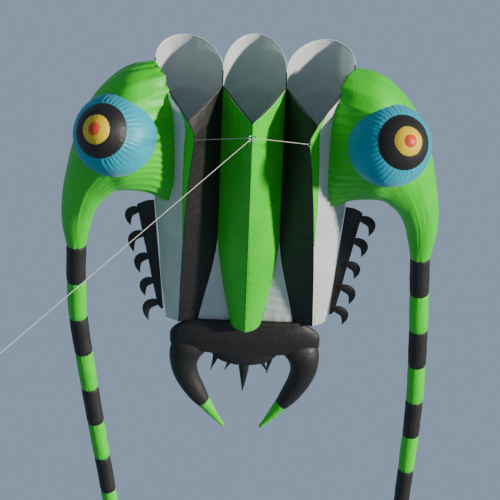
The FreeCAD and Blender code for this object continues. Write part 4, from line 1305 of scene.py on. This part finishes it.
STRIP_FROM = np.array((3.085, 5.62, 1.96))
STRIP_TO = np.array((2.725, 9.87, 2.13))
STRIP_RUN, STRIP_WIDE = 1.18, 0.150
STRIP_OUTLINE = ((0, 1.0), (0.06, 1.0), (0.55, 0.62), (1.0, 0.30))
LEG_SHARES = (0.06, 0.275, 0.49, 0.705, 0.92)
LEG_REACH, LEG_WIDE = 0.165, 0.062


# A leg's path from the strip's edge: how far back, outwards and up, and its radius on the way.
HOOK_PATH = ((0.0, -0.008, 0.0), (0.0, 0.085, 0.006), (0.045, 0.125, 0.004), (0.172, 0.088, -0.010))
HOOK_RADII = (0.026, 0.040, 0.043, 0.040, 0.033, 0.022, 0.002)


def strip_axes(side):
    start = STRIP_FROM * (side, 1, 1) * W + NOSE
    end = STRIP_TO * (side, 1, 1) * W + NOSE
    along = unit(end - start)
    out = np.array((float(side), 0, 0))
    out = unit(out - along * (out @ along))
    return start, along, out, np.cross(along, out)


def make_leg_strip(name, side):
    start, along, out, normal = strip_axes(side)
    rows, columns = 90, 14
    share = np.linspace(0, 1, rows)[:, None]
    across = np.linspace(0, 1, columns)[None]
    wide = np.interp(share, *zip(*STRIP_OUTLINE)) * STRIP_WIDE
    wide = wide * np.minimum(1, (share + 0.03) / 0.06) * np.minimum(1, (1.02 - share) / 0.05)
    base = start + along * (share * STRIP_RUN)[..., None] + out * (wide * across)[..., None]
    flutter = 0.010 * across * np.sin(share * 17 + side)
    flutter = flutter + 0.005 * across * ripple(share * 14, across * 2, 171 + side)
    flat = base + normal * flutter[..., None]
    points, away = dressed(flat, 173 + side, 0.0015, 0.0012, (1, 0, 1, 1))
    mesh = grid_mesh(f"{name}_leg_cloth", points, seam_away=away, flip=side < 0)
    piece = add_piece(f"{name}_leg_cloth", mesh, BLACK, (f"{name}_leg_strip",), 0.0025)
    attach(piece, f"{name}_legs")
    declare_sheet(flat)
    hooks = []
    for index, at in enumerate(LEG_SHARES):
        edge = float(np.interp(at, *zip(*STRIP_OUTLINE))) * STRIP_WIDE
        root = start + along * (at * STRIP_RUN + LEG_WIDE / 2) + out * (edge - 0.012)
        lift = 0.010 * math.sin(at * 17 + side)
        root = root + normal * lift
        size = 1.0 + 0.10 * math.sin(index * 2.1 + side)
        path = [root + (along * back + out * away + normal * up) * size for back, away, up in HOOK_PATH]
        hooks.append(horn_mesh(f"{name}_hook_{index}", path, HOOK_RADII, 0.5, 24, 40))
    piece = add_piece(f"{name}_leg_hooks", joined(f"{name}_leg_hooks", hooks), BLACK, (f"{name}_legs",))
    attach(piece, f"{name}_legs")


for side_name, side_sign in SIDES:
    make_leg_strip(side_name, side_sign)
